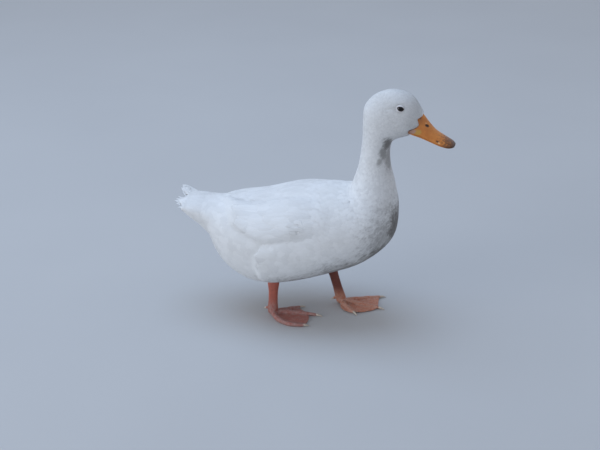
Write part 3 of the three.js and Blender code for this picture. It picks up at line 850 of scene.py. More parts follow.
# Places of dirt and of painted shade: centre, half sizes (both in millimetres in the measuring frame)
# and strength.
STAINS_AND_PAINTED_SHADE = [
    # the throat: dirt, and painted shade under the cheek
    ((120, -12, 282), (9, 12, 13), 0.82),
    ((115, -16, 268), (7, 9, 13), 0.6),
    ((110, -20, 256), (4.5, 6, 7), 0.48),
    ((123, -8, 262), (9, 14, 24), 0.5),
    # the breast and belly: dirt, and painted shade where they face down, away from the light
    ((133, -4, 152), (15, 46, 46), 0.95),
    ((124, -12, 130), (46, 70, 68), 0.52),
    ((114, -4, 114), (39, 70, 37), 0.95),
    ((66, -4, 83), (56, 82, 40), 0.88),
    ((4, -6, 60), (70, 82, 38), 0.75),
]


def body_marks():
    """Stains and painted shade, and faint clouds, by the place on the body, for the skin and for every
    feather.
    """
    outputs = [("Colour", "Color"), ("Soil", "Float")]
    tree, given, result = new_group("body_marks", "Shader", [("Place", "Vector", None)], outputs)
    place = given["Place"]
    flow = add_node(
        tree,
        "ShaderNodeMapping",
        {"Vector": place, "Rotation": (0, STREAK_TILT, 0), "Scale": (2.6, 1, 1)},
        vector_type="TEXTURE",
    )
    fine = maths(tree, "MULTIPLY_ADD", noise(tree, flow.outputs["Vector"], 480.0, 3.0, 0.6), 0.9, -0.45)
    ragged = maths(tree, "MULTIPLY_ADD", noise(tree, flow.outputs["Vector"], 150.0, 4.0, 0.65), 1.2, -0.6)
    ragged = maths(tree, "ADD", ragged, fine)
    stain_and_shade = None
    # each place darkens the colour towards dirt: real stains and painted shade alike
    for centre, half, strength in STAINS_AND_PAINTED_SHADE:
        gap = vectors(tree, "SUBTRACT", place, tuple(to_scene(centre)))
        gap = vectors(tree, "MULTIPLY", gap, tuple(1 / (h * MM) for h in half))
        near = maths(tree, "SUBTRACT", vectors(tree, "LENGTH", gap), ragged)
        spot = maths(tree, "MULTIPLY", maths(tree, "SUBTRACT", 1.0, step(tree, near, 0.35, 1.25)), strength)
        stain_and_shade = spot if stain_and_shade is None else maths(tree, "MAXIMUM", stain_and_shade, spot)
    cloudy = mix_colour(tree, step(tree, noise(tree, place, 28.0, 3.0), 0.35, 0.8), WHITE, SHADE_WHITE)
    faint = mix_colour(tree, 0.35, WHITE, cloudy)
    join(tree, result["Colour"], mix_colour(tree, stain_and_shade, faint, STAIN_AND_SHADE_COLOUR))
    join(tree, result["Soil"], stain_and_shade)
    return tree


MARKS = body_marks()
print("marks on the body:", len(STAINS_AND_PAINTED_SHADE), "stained and shaded places,", len(MARKS.nodes), "nodes")

# %% The feathers' finishes
def new_material(name):
    """A material with its nodes, its surface and the place that its textures are read at."""
    made = bpy.data.materials.new(name)
    made.use_nodes = True
    tree = made.node_tree
    surface = next(n for n in tree.nodes if n.type == "BSDF_PRINCIPLED")
    place = add_node(tree, "ShaderNodeTexCoord").outputs["Object"]
    return made, tree, surface, place


def set_surface(tree, surface, **values):
    """Sets or joins the surface's inputs, whose names are given with _ for a space."""
    for name, value in values.items():
        join(tree, surface.inputs[name.replace("_", " ")], value)


def relief(tree, surface, height, distance, strength):
    inputs = {"Height": height, "Distance": distance, "Strength": strength}
    set_surface(tree, surface, Normal=add_node(tree, "ShaderNodeBump", inputs).outputs["Normal"])


def feather_finish(name, barb_count, barb_depth, tone_spread=0.06):
    """White vanes with a shaft, slanting barbs and the body's marks of dirt and painted shade."""
    made, tree, surface, place = new_material(name)
    marks = add_node(tree, "ShaderNodeGroup", {"Place": place}, node_tree=MARKS)
    at = add_node(tree, "ShaderNodeSeparateXYZ", {"Vector": point_mark(tree, "vane_place", "Vector")})
    side = maths(tree, "ABSOLUTE", at.outputs["X"])
    slant = maths(tree, "SUBTRACT", at.outputs["Y"], maths(tree, "MULTIPLY", side, 0.9))
    barbs = maths(tree, "SINE", maths(tree, "MULTIPLY", slant, barb_count * 2 * math.pi))
    shaft = maths(tree, "SUBTRACT", 1.0, step(tree, side, 0.015, 0.05))
    height = maths(tree, "ADD", maths(tree, "MULTIPLY", barbs, 0.5), maths(tree, "MULTIPLY", shaft, 1.4))
    relief(tree, surface, height, barb_depth * MM, 0.6)
    shade = maths(tree, "MULTIPLY_ADD", point_mark(tree, "tone"), tone_spread, 1.0 - tone_spread)
    grey = add_node(tree, "ShaderNodeCombineColor", dict.fromkeys(("Red", "Green", "Blue"), shade))
    colour = mix_colour(tree, 1.0, marks.outputs["Colour"], grey.outputs["Color"], "MULTIPLY")
    rough = maths(tree, "MULTIPLY_ADD", marks.outputs["Soil"], 0.15, 0.62)
    set_surface(tree, surface, Base_Color=colour, Roughness=rough)
    set_surface(tree, surface, Sheen_Weight=0.25, Sheen_Roughness=0.5, Specular_IOR_Level=0.35)
    return made


DOWN = feather_finish("down_white", 9, 0.08)
CONTOUR = feather_finish("contour_white", 34, 0.05, 0.04)
print("finishes:", DOWN.name, "and", CONTOUR.name)

# %% Skin under the feathers
def skin_finish():
    """Bare skin with the body's marks of dirt and painted shade, as it shows between feathers."""
    made, tree, surface, place = new_material("skin_under_feathers")
    marks = add_node(tree, "ShaderNodeGroup", {"Place": place}, node_tree=MARKS)
    relief(tree, surface, noise(tree, place, 900.0, 2.0), 0.2 * MM, 0.7)
    set_surface(tree, surface, Base_Color=marks.outputs["Colour"], Roughness=0.7, Sheen_Weight=0.2)
    return made


skin.data.materials.append(skin_finish())
print("finish:", skin.data.materials[0].name)

# %% [markdown]
# ## The coat, piece by piece
#
# Feathers are smallest on the face and grow towards the rump, so the coat is grown in stretches, each
# with its own spacing and its own vane. A stretch runs a little over its neighbour.

# %% Grow the coat
# Each row: name, from, to, spacing, vanes, finish, seed, ruffle and sway.
COATS = [
    ("coat_face", 16.4, 18.99, 1.15, tuft_set, DOWN, 11, 0.12, 0.12),
    ("coat_head", 14.0, 16.4, 1.5, tuft_set, DOWN, 12, 0.08, 0.1),
    ("coat_neck", 11.2, 14.0, 2.1, plume_set, DOWN, 13, 0.06, 0.08),
    ("coat_neck_root", 9.2, 11.2, 3.3, plume_set, DOWN, 14, 0.04, 0.07),
    ("coat_breast", 7.4, 9.2, 5.2, contour_set, CONTOUR, 25, 0.03, 0.06),
    ("coat_shoulder", 5.0, 7.4, 6.4, contour_set, CONTOUR, 16, 0.025, 0.05),
    ("coat_rump", 0.05, 5.0, 6.6, contour_set, CONTOUR, 17, 0.025, 0.05),
]
for *stretch, seed, ruffle, sway in COATS:
    grow_coat(*stretch, Seed=seed, Ruffle=ruffle, Sway=sway)

# The skin itself
worn(skin)
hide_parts("trunk", "neck", "head", "tail", "wing_left", "wing_right", "thigh_left", "thigh_right")

# %% [markdown]
# ## The bill
#
# A duck's bill is skin over bone, high and narrow where it leaves the face and broad and flat at the
# end, with a rolled edge, an oval nostril low on each side and a horny nail at the tip. It could be
# modelled from a box with a subdivision surface. Rings from a table of its ridge and edge give the same
# form as the solid and let the nostrils be pressed in where they belong.

# %% Upper bill
# Each row: ridge x and z, biting edge x and z, half width.
BILL = np.array(
    [
        (154, 333, 141, 307, 11.5),
        (167, 326.5, 152, 301.5, 12.6),
        (176, 315.5, 166, 297, 12.8),
        (186, 304.5, 180, 291.5, 13),
        (196, 297.5, 193, 286.5, 13.6),
        (205, 292, 204, 283.8, 13),
        (211, 288.5, 211, 283.6, 9.5),
        (214.3, 285.4, 214.5, 283.8, 3.5),
    ]
)
BILL_ROWS = len(BILL) - 1
NOSTRIL = dict(at=(174.3, 312.0), long=3.1, high=1.25, slope=math.radians(-28), deep=1.5, rim=0.3)
LIP = dict(out=0.35, high=1.3, groove=0.3)
print("upper bill:", len(BILL), "rows, widest", 2 * BILL[:, 4].max(), "mm")


def upper_bill(place, turn, over=0.0):
    """A point of the upper bill.

    place runs from its root, 0, to its tip, 1, and turn from edge to edge over the ridge.
    """
    place, turn = np.broadcast_arrays(np.asarray(place, float), np.asarray(turn, float))
    row = spline(BILL, place * BILL_ROWS)
    ridge = row[..., 0:2] - row[..., 2:4]
    high = np.linalg.norm(ridge, axis=-1)
    ridge = ridge / high[..., None]
    sine = np.maximum(np.sin(turn), 0)
    up = sine ** (0.95 - 0.3 * place) * high
    lip = bell(up / LIP["high"]) * LIP["out"] - bell((up - 3.2) / 1.3) * LIP["groove"]
    half = row[..., 4] + (lip + over) * ease(1 - place, 0, 0.08)
    up = up + over * sine
    x = row[..., 2] + ridge[..., 0] * up
    z = row[..., 3] + ridge[..., 1] * up
    y = half * np.cos(turn)
    # The nostril: an oval pit with a low rim.
    c, s = math.cos(NOSTRIL["slope"]), math.sin(NOSTRIL["slope"])
    dx, dz = x - NOSTRIL["at"][0], z - NOSTRIL["at"][1]
    oval = np.hypot((dx * c + dz * s) / NOSTRIL["long"], (dz * c - dx * s) / NOSTRIL["high"])
    pit = -NOSTRIL["deep"] * (1 - ease(oval, 0.55, 1.05)) + NOSTRIL["rim"] * bell((oval - 1.35) / 0.4)
    y = y + np.sign(np.cos(turn)) * pit * ease(np.abs(np.cos(turn)), 0.1, 0.35)
    return np.stack([x, y, z], -1)


def bill_rings(steps, arch):
    """Rings over the arch from the right edge to the left one and back along the palate."""
    places = 1 - (1 - np.linspace(0, 1, steps)) ** 1.25
    turn = np.linspace(0, math.pi, arch)
    over = upper_bill(places[:, None], turn[None, :])
    palate = np.linspace(1, -1, 9)[1:-1]
    left, right = over[:, :1], over[:, -1:]
    share = ((1 - palate) / 2)[None, :, None]
    under = right + (left - right) * share
    under[..., 2] += 0.9 * (1 - (2 * share[..., 0] - 1) ** 2)
    return np.concatenate([over, under], 1)


# %% Closed pieces
def outward(made):
    """Turns a closed mesh's faces outwards."""
    shape = bmesh.new()
    shape.from_mesh(made.data)
    bmesh.ops.recalc_face_normals(shape, faces=shape.faces)
    shape.to_mesh(made.data)
    shape.free()


def smooth_piece(name, points, faces, finish):
    """A closed piece with its faces turned outwards."""
    made = mesh_object(name, to_scene(points), faces)
    outward(made)
    made.data.materials.append(finish)
    return worn(made)


def tube_piece(name, rings, finish):
    """A closed piece from the rings of a tube."""
    return smooth_piece(name, tube_points(rings), tube_faces(*rings.shape[:2]), finish)


# %% [markdown]
# The bill is orange, deeper towards the ridge, yellow at the corner of the mouth, and this duck's has
# brown pigment in blotches near the tip and along the edge. Shade is painted too: a dark line under the
# feathers' edge by the mouth, a dark spot at their top corner, and dark nostrils. Skin of this kind is
# a little glossy and finely wrinkled.

# %% The bill's finish
# Each row: centre x and z, half sizes in millimetres, slope in degrees, strength and colour.
BILL_SPOTS_AND_SHADE = [
    ((162, 303), (6, 4.6), 10, 0.8, (0.52, 0.30, 0.06)),
    ((154.5, 303), (6, 3.6), 26, 0.8, (0.40, 0.25, 0.20)),
    # the next two rows are painted shade: a dark line under the feathers' edge by the mouth, and a dark
    # spot at the feather line's top corner
    ((154, 306.4), (9, 0.9), 26, 0.8, (0.07, 0.045, 0.035)),
    ((164.2, 322.4), (2.1, 1.6), -40, 0.6, (0.07, 0.045, 0.03)),
    # the next row is painted shade: the nostril's opening painted dark
    ((174.3, 312.0), (3.4, 1.7), -28, 0.95, (0.035, 0.014, 0.008)),
    ((172.6, 315.2), (1.8, 0.8), -28, 0.5, (0.80, 0.42, 0.2)),
    ((190, 291.5), (2.6, 1.4), -30, 0.85, (0.07, 0.035, 0.02)),
    ((192.4, 289.3), (1.9, 1.1), -30, 0.85, (0.85, 0.50, 0.24)),
]


def oval_spot(tree, place, centre, half, slope):
    """1 inside an oval seen from the duck's side and 0 outside it."""
    seen = add_node(
        tree,
        "ShaderNodeMapping",
        {
            "Vector": place,
            "Location": tuple(to_scene((centre[0], 0, centre[1]))),
            "Rotation": (0, math.radians(-slope), 0),
            "Scale": (half[0] * MM, 1e3, half[1] * MM),
        },
        vector_type="TEXTURE",
    )
    gap = vectors(tree, "LENGTH", seen.outputs["Vector"])
    return maths(tree, "SUBTRACT", 1.0, step(tree, gap, 0.6, 1.15))


def bill_finish():
    """Orange skin with its marks and painted shade, brown towards the tip and darkest at the very end."""
    made, tree, surface, place = new_material("bill_skin")
    at = add_node(tree, "ShaderNodeSeparateXYZ", {"Vector": place})
    x, z = at.outputs["X"], at.outputs["Z"]
    tip = BILL_TIP * MM - origin[0]
    forward = step(tree, x, tip - 0.034, tip - 0.004)
    blotch = noise(tree, place, 420.0, 4.0, 0.6)
    fine = noise(tree, place, 1500.0, 3.0, 0.6)
    cloudy = step(tree, noise(tree, place, 110.0, 3.0), 0.3, 0.7)
    orange = mix_colour(tree, cloudy, (0.64, 0.225, 0.04), (0.53, 0.17, 0.03))
    for centre, half, slope, strength, tint in BILL_SPOTS_AND_SHADE:
        spot = maths(tree, "MULTIPLY", oval_spot(tree, place, centre, half, slope), strength)
        orange = mix_colour(tree, spot, orange, tint)
    patches = step(tree, maths(tree, "MULTIPLY_ADD", forward, 0.26, blotch), 0.60, 0.70)
    speckle = maths(tree, "MULTIPLY", step(tree, fine, 0.60, 0.68), 0.35)
    patches = maths(tree, "MULTIPLY", patches, maths(tree, "MULTIPLY_ADD", forward, 0.75, 0.05))
    dark = maths(tree, "MAXIMUM", patches, maths(tree, "MULTIPLY", speckle, forward))
    colour = mix_colour(tree, dark, orange, (0.055, 0.030, 0.018))
    end = step(tree, x, tip - 0.007, tip - 0.001)
    colour = mix_colour(tree, maths(tree, "MULTIPLY", end, 0.65), colour, (0.075, 0.055, 0.045))
    relief(tree, surface, maths(tree, "ADD", fine, maths(tree, "MULTIPLY", blotch, 0.8)), 0.12 * MM, 0.5)
    rough = maths(tree, "MULTIPLY_ADD", fine, 0.18, 0.30)
    set_surface(tree, surface, Base_Color=colour, Roughness=rough, Specular_IOR_Level=0.45)
    set_surface(tree, surface, Coat_Weight=0.12, Coat_Roughness=0.25)
    return made


BILL_SKIN = bill_finish()
bill_upper = tube_piece("bill_upper_skin", bill_rings(110, 65), BILL_SKIN)
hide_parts("bill_upper")

# %% Lower bill
LOWER = dict(inset=1.6, deep=6.0, shallow=2.4, reach=0.93, lip=0.8, gap=0.3)


def lower_rings(steps, arch):
    """Rings under the arch from the left edge to the right one and back along the mouth."""
    places = (1 - (1 - np.linspace(0, 1, steps)) ** 1.4) * LOWER["reach"]
    row = spline(BILL, places * BILL_ROWS)
    half = (row[:, 4] - LOWER["inset"]) * np.sqrt(1 - 0.9 * ease(places, 0.80, LOWER["reach"] + 0.01) ** 3)
    deep = LOWER["deep"] + (LOWER["shallow"] - LOWER["deep"]) * np.sqrt(places)
    lip = row[:, 3] - LOWER["gap"] - LOWER["lip"]
    turn = np.linspace(0, math.pi, arch)
    keel = 1 - 0.22 * bell((turn - math.pi / 2) / 0.22)  # a groove between the two jaw bones
    y = half[:, None] * np.cos(turn)
    z = lip[:, None] - deep[:, None] * np.sin(turn) ** 0.8 * keel
    under = np.stack([np.broadcast_to(row[:, 2:3], y.shape), y, z], -1)
    inner = half[:, None] * np.linspace(-0.85, 0.85, 5)
    roof = (lip + LOWER["lip"])[:, None]
    top = np.stack(np.broadcast_arrays(row[:, 2:3], inner, roof), -1)
    return np.concatenate([under, top], 1)


bill_lower = tube_piece("bill_lower_skin", lower_rings(60, 41), BILL_SKIN)
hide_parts("bill_lower")

# %% [markdown]
# The nail is a small shield of horn let into the tip. It follows the bill's own surface, a little
# raised in its middle and sunk at its rim, so that it reads as grown in and not laid on.

# %% The nail
def horn_finish(name, dark, light, scale):
    made, tree, surface, place = new_material(name)
    grain = noise(tree, place, scale, 4.0, 0.6)
    relief(tree, surface, grain, 0.08 * MM, 0.5)
    colour = mix_colour(tree, step(tree, grain, 0.3, 0.7), dark, light)
    set_surface(tree, surface, Base_Color=colour, Roughness=0.32, Specular_IOR_Level=0.5)
    set_surface(tree, surface, Coat_Weight=0.2, Coat_Roughness=0.2)
    return made


def shield(rows, columns):
    """The nail's upper surface and the side sunk in the bill, as one closed patch."""
    u, v = np.meshgrid(np.linspace(-1, 1, rows), np.linspace(-1, 1, columns), indexing="ij")
    # A square patch pressed into a disc.
    x, y = u * np.sqrt(1 - v * v / 2), v * np.sqrt(1 - u * u / 2)
    inside = 1 - np.hypot(x, y)
    place, turn = 0.935 + 0.058 * x, math.pi / 2 + 0.62 * y
    top = upper_bill(place, turn, -0.25 + 0.75 * ease(inside, 0, 0.35))
    bottom = upper_bill(place, turn, -0.9)
    return top, bottom


def closed_patch(top, bottom):
    """Points and faces of two grids of the same size, joined round their rims."""
    rows, columns = top.shape[:2]
    count = rows * columns
    points = np.concatenate([top.reshape(-1, 3), bottom.reshape(-1, 3)])
    faces = []
    for r in range(rows - 1):
        for c in range(columns - 1):
            a = r * columns + c
            faces.append((a, a + columns, a + columns + 1, a + 1))
            faces.append((a + count, a + count + 1, a + count + columns + 1, a + count + columns))
    grid = np.arange(count).reshape(rows, columns)
    rim = [*grid[0], *grid[1:, -1], *grid[-1, -2::-1], *grid[-2:0:-1, 0]]
    for a, b in zip(rim, rim[1:] + rim[:1]):
        faces.append((int(a), int(b), int(b) + count, int(a) + count))
    return points, faces


NAIL_HORN = horn_finish("nail_horn", (0.05, 0.035, 0.028), (0.12, 0.075, 0.045), 900.0)
points, faces = closed_patch(*shield(21, 21))
nail = smooth_piece("bill_nail_horn", points, faces, NAIL_HORN)
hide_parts("bill_nail")

# %% [markdown]
# ## Eyes
#
# The eye is a dark wet ball, of which lids show only a low oval. The ball keeps the solid's place and
# size. Its poles are turned to look out of the head, so that pupil and iris are rings round the pole.
# Lids are bare skin: an oval band that lies on the ball and runs out under the small feathers.

# %% Eyeballs
EYE_TURN = math.radians(70)
EYE_STATION = 17.15
EYE_SLOPE = math.radians(-12)  # the opening runs a little down towards the bill
LID = dict(long=4.9, high=4.2, above=0.72, corner=0.3)


def eye_axes(side):
    """The way the eye looks, and two directions across it: forwards and up."""
    look = rib_normal(np.array(EYE_STATION), np.array(side * EYE_TURN))
    forward = np.array([math.cos(EYE_SLOPE), 0, math.sin(EYE_SLOPE)])
    forward = unit(forward - look * (forward @ look))
    return look, forward, np.cross(look, forward) * side * -1


def eyeball(side, centre, count=28, sides=48):
    """Rings of the ball from where it looks to its back, and how far each is bent away from there."""
    look, forward, up = eye_axes(side)
    bend = np.linspace(0.02, math.pi - 0.02, count)
    turn = turn_round(sides)
    across = np.cos(turn)[None, :, None] * forward + np.sin(turn)[None, :, None] * up
    ball = np.cos(bend)[:, None, None] * look + np.sin(bend)[:, None, None] * across
    bulge = 1 + 0.03 * bell(bend / 0.55)[:, None, None]  # the cornea
    return centre + ball * bulge * (EYE_RADIUS - 0.05), bend


def eye_finish():
    """Pupil, iris and dark rim as rings round the way the eye looks."""
    made, tree, surface, place = new_material("wet_eye")
    bend = point_mark(tree, "bend")
    rays = noise(tree, place, 900.0, 3.0)
    iris = mix_colour(tree, step(tree, rays, 0.35, 0.65), (0.020, 0.010, 0.006), (0.045, 0.022, 0.012))
    colour = mix_colour(tree, step(tree, bend, 0.50, 0.54), (0.002, 0.002, 0.002), iris)
    colour = mix_colour(tree, step(tree, bend, 0.80, 0.88), colour, (0.012, 0.008, 0.007))
    set_surface(tree, surface, Base_Color=colour, Roughness=0.12, Specular_IOR_Level=0.25)
    set_surface(tree, surface, Coat_Weight=0.15, Coat_Roughness=0.03)
    return made


WET_EYE = eye_finish()
SIDES_OF = {"left": 1, "right": -1}
for name, side in SIDES_OF.items():
    rings, bend = eyeball(side, EYES[name])
    ball = tube_piece(f"eyeball_{name}", rings, WET_EYE)
    store(ball.data, "bend", np.concatenate([np.repeat(bend, rings.shape[1]), [0, math.pi]]))
    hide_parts(f"eye_{name}")

# %% Lids
def lid_rings(side, centre, sides=72):
    """Rings from inside the lid's margin, over it and out under the feathers."""
    look, forward, up = eye_axes(side)
    turn = turn_round(sides)
    cosine, sine = np.cos(turn), np.sin(turn)
    corner = 1 + LID["corner"] / LID["long"] * np.abs(cosine) ** 7
    wide = LID["long"] * cosine * corner
    tall = LID["high"] * sine * np.where(sine > 0, LID["above"], 1.0)
    opening = np.hypot(wide, tall)
    out_x, out_y = wide / opening, tall / opening
    levels = []
    # How far out from the opening, and how high over the ball.
    for out, over in ((-0.55, -0.35), (-0.3, 0.12), (0.0, 0.42), (0.45, 0.52), (1.0, 0.42), (1.7, 0.25)):
        reach = opening + out
        levels.append((reach, np.sqrt(np.maximum((EYE_RADIUS + over) ** 2 - reach**2, 1.0))))
    # How far out, and how high over the ball's centre.
    for out, height in ((2.6, 1.9), (3.8, 0.9)):
        levels.append((opening + out, np.full(sides, height)))
    return np.stack(
        [
            centre
            + (reach * out_x)[:, None] * forward
            + (reach * out_y)[:, None] * up
            + height[:, None] * look
            for reach, height in levels
        ]
    )


def lid_finish():
    made, tree, surface, place = new_material("lid_skin")
    wrinkle = noise(tree, place, 1800.0, 3.0, 0.6)
    colour = mix_colour(tree, wrinkle, (0.58, 0.55, 0.53), (0.70, 0.67, 0.65))
    relief(tree, surface, wrinkle, 0.12 * MM, 0.7)
    set_surface(tree, surface, Base_Color=colour, Roughness=0.5, Specular_IOR_Level=0.4)
    return made


LID_SKIN = lid_finish()
for name, side in SIDES_OF.items():
    outer = lid_rings(side, EYES[name])
    inner = EYES[name] + (outer - EYES[name]) * 0.93
    rings = np.concatenate([outer, inner[::-1]])
    count, sides = rings.shape[:2]
    i, j = (n.ravel() for n in np.meshgrid(np.arange(count), np.arange(sides), indexing="ij"))
    k, n = (j + 1) % sides, (i + 1) % count
    faces = np.stack([i * sides + j, i * sides + k, n * sides + k, n * sides + j], 1)
    smooth_piece(f"lids_{name}", rings.reshape(-1, 3), faces, LID_SKIN)

# %% [markdown]
# ## Legs and feet
#
# A duck's shank and toes are bone and tendon in scaly skin, with loose webs between the front toes. A
# sculptor would pull them out of one ball. Here shank, toes, ball and webs are drawn as simple closed
# forms on the same lines as the solids, and a voxel remesh melts them into one skin with soft creases
# where they meet. Claws are horn and stay pieces of their own.

# %% Lines of the legs
LEGS = {
    "right": dict(
        side=-1,
        hock=(-43, -30, 66),
        joint=(-45.5, -26, 8),
        # Reach in millimetres, bearing from straight ahead towards the left, bow to the side, claw.
        toes=dict(inner=(54, 37, 0, 8.5), middle=(75, 4.5, 3.5, 8.5), outer=(67, -24, -16, 5.5)),
        # How far up the two toes a web goes, and how far its edge hangs back between them.
        webs=(("inner", "middle", (0.95, 0.9), 5), ("middle", "outer", (0.8, 0.97), -9)),
        lobe=6.0,
    ),
    "left": dict(
        side=1,
        hock=(30, 19, 84),
        joint=(48, 32, 8),
        toes=dict(inner=(49, -50, -1.5, 8.5), middle=(70, -9, 2, 8.5), outer=(72, 26, 0, 8.5)),
        webs=(("inner", "middle", (0.97, 0.97), -10), ("middle", "outer", (0.97, 0.97), 1)),
        lobe=8.0,
    ),
}
for name, leg in LEGS.items():
    print(f"{name} leg: toes reach", [toe[0] for toe in leg["toes"].values()], "mm")

# %% Shank and toes
def bezier(start, middle, end, t):
    """Points of a curve that leaves start and reaches end aimed at middle."""
    t = np.asarray(t, float)[:, None]
    return (1 - t) ** 2 * start + 2 * t * (1 - t) * middle + t * t * end


def swept(path, wide, tall, sides=16, up=(0, 0, 1)):
    """Rings square to a path, half as wide and tall as the two arrays say."""
    path = np.asarray(path, float)
    along = unit(np.gradient(path, axis=0))
    across = unit(np.cross(np.asarray(up, float), along))
    upright = np.cross(along, across)
    turn = turn_round(sides)
    return (
        path[:, None]
        + across[:, None] * (wide[:, None] * np.cos(turn))[..., None]
        + upright[:, None] * (tall[:, None] * np.sin(turn))[..., None]
    )


def heel_of(leg):
    """The place on the floor below the joint that the toes start from."""
    return np.array([*leg["joint"][:2], 0.0])


def toe_line(leg, toe, t):
    """Points of a toe's line on the floor. t runs from the joint, 0, to the claw's tip, 1."""
    reach, bearing, bow, _ = toe
    ahead = np.array([math.cos(math.radians(bearing)), math.sin(math.radians(bearing)), 0])
    aside = np.array([-ahead[1], ahead[0], 0])
    start = heel_of(leg)
    return bezier(start, start + ahead * reach / 2 + aside * 2 * bow, start + ahead * reach, t)


def flesh_share(toe):
    """The share of a toe's line that is flesh. The rest is claw."""
    return 1 - toe[3] / toe[0]


TOE_HEIGHT = 0.84  # a toe's line over the floor, as a share of its thickness


def toe_rings(leg, toe):
    """Flesh of a toe: three knuckles, each with a soft pad below."""
    t = np.linspace(0, 1, 40)
    line = toe_line(leg, toe, t * flesh_share(toe))
    knuckles = 1 + 0.09 * np.cos(6 * math.pi * t)
    end = np.sqrt(1 - 0.75 * t**14)
    wide, tall = (4.1 - 1.4 * t) * knuckles * end, (4.3 - 1.7 * t) * knuckles * end
    line[:, 2] = (4.4 - 1.7 * t) * TOE_HEIGHT
    return swept(line, wide, tall)


# %% Webs, and the flap of the inner toe
def web_patch(leg, one, two, ends, scallop):
    """A thin web between two toes, slack and faintly pleated, with a bowed edge between their tips."""
    v = np.linspace(0, 1, 25)
    slack = 4 * v * (1 - v)
    spread = np.linspace(0.03, 1, 36)[:, None]
    toes = [leg["toes"][name] for name in (one, two)]
    sides = [toe_line(leg, toe, spread[:, 0] * end * flesh_share(toe)) for toe, end in zip(toes, ends)]
    middle = sides[0][:, None] + (sides[1] - sides[0])[:, None] * v[None, :, None]
    back = unit(heel_of(leg) - (sides[0][-1] + sides[1][-1]) / 2)
    middle += back * (0.5 * scallop * slack * spread**2.5)[..., None]
    pleats = 0.45 * np.sin(v * 5 * math.pi)[None, :] * spread + 0.25 * np.sin(v * 13 + spread * 4)
    height = 1.3 + (2.5 * (1 - spread) + 0.5) * (1 - 0.7 * slack)[None, :] + pleats * slack[None, :]
    top, bottom = middle.copy(), middle.copy()
    top[..., 2], bottom[..., 2] = height + 0.55, height - 0.55
    return top, bottom


def lobe_patch(leg):
    """The narrow flap of skin along the inner toe."""
    toe = leg["toes"]["inner"]
    t = np.linspace(0.15, 0.94, 30)
    line = toe_line(leg, toe, t * flesh_share(toe))
    ahead = unit(np.gradient(line, axis=0))
    out = np.stack([-ahead[:, 1], ahead[:, 0], np.zeros(len(t))], 1) * leg["side"] * -1
    wide = leg["lobe"] * np.sin(np.linspace(0.25, math.pi - 0.15, 30)) ** 0.6
    v = np.linspace(0, 1, 7)
    middle = line[:, None] + out[:, None] * (wide[:, None] * v[None, :])[..., None]
    top, bottom = middle.copy(), middle.copy()
    height = 2.6 - 1.2 * v[None, :] + 0.2 * np.sin(np.arange(30) * 0.9)[:, None] * v[None, :]
    top[..., 2], bottom[..., 2] = height + 0.5, height - 0.5
    return top, bottom


# %% Ball, hind toe and shank
def ball_rings(centre, half, count=14, sides=20):
    bend, turn = np.linspace(0.05, math.pi - 0.05, count)[:, None], turn_round(sides)
    x, y = np.sin(bend) * np.cos(turn), np.sin(bend) * np.sin(turn)
    ball = np.stack(np.broadcast_arrays(x, y, np.cos(bend)), -1)
    return np.asarray(centre) + ball * np.asarray(half)


def hind_toe(leg):
    """Where the small toe behind starts, the way it points, and its end."""
    x, y, _ = leg["joint"]
    along = unit(np.array([-0.88, -0.3 * leg["side"], -0.36]))
    start = np.array([x - 2, y, 12.0])
    return start, along, start + along * 10


def shank_rings(leg):
    """The shank: an oval shaft, thicker at the ankle above and where the toes begin."""
    t = np.linspace(0, 1, 50)
    path = np.array(leg["hock"]) + (np.array(leg["joint"]) - np.array(leg["hock"])) * t[:, None]
    swell = 1 + 0.28 * ease(1 - t, 0.5, 0.85) + 0.15 * ease(t, 0.7, 1)
    rings = swept(path, 4.9 * swell, 7.0 * swell, 24, (1, 0, 0))
    # Tendons: a shallow groove runs down behind the bone on both sides.
    groove = 1 - 0.07 * np.exp(-((np.abs(np.cos(turn_round(24))) - 1) ** 2) / 0.02)
    return path[:, None] + (rings - path[:, None]) * groove[None, :, None]


# %% Melt each leg into one skin
VOXEL = 0.55  # millimetres
print("legs are melted at", VOXEL, "mm")


def melted(name, parts, voxel):
    """One closed mesh round a list of (points, faces), by a voxel remesh."""
    points, faces = [], []
    for part_points, part_faces in parts:
        offset = sum(len(p) for p in points)
        points.append(part_points)
        faces += [tuple(int(i) + offset for i in face) for face in part_faces]
    rough = mesh_object(name, to_scene(np.concatenate(points)), faces)
    modifier = rough.modifiers.new("melt", "REMESH")
    modifier.mode, modifier.voxel_size, modifier.use_smooth_shade = "VOXEL", voxel * MM, True
    relax = rough.modifiers.new("relax", "SMOOTH")
    relax.factor, relax.iterations = 0.5, 4
    view = bpy.context.evaluated_depsgraph_get()
    view.update()
    mesh = bpy.data.meshes.new_from_object(rough.evaluated_get(view), depsgraph=view)
    bpy.data.objects.remove(rough)
    return mesh


def leg_parts(leg):
    """The closed forms that a leg is melted from."""
    tubes = [toe_rings(leg, toe) for toe in leg["toes"].values()]
    start, along, tip = hind_toe(leg)
    t = np.linspace(0, 1, 12)
    tubes.append(swept(start + (tip - start) * t[:, None], 2.8 - 0.9 * t, 2.8 - 0.9 * t))
    tubes += [shank_rings(leg), ball_rings(heel_of(leg) + (0, 0, 6.2), (7.4, 6.4, 6.9))]
    patches = [web_patch(leg, *web) for web in leg["webs"]] + [lobe_patch(leg)]
    parts = [(tube_points(rings), tube_faces(*rings.shape[:2])) for rings in tubes]
    return parts + [closed_patch(*patch) for patch in patches]


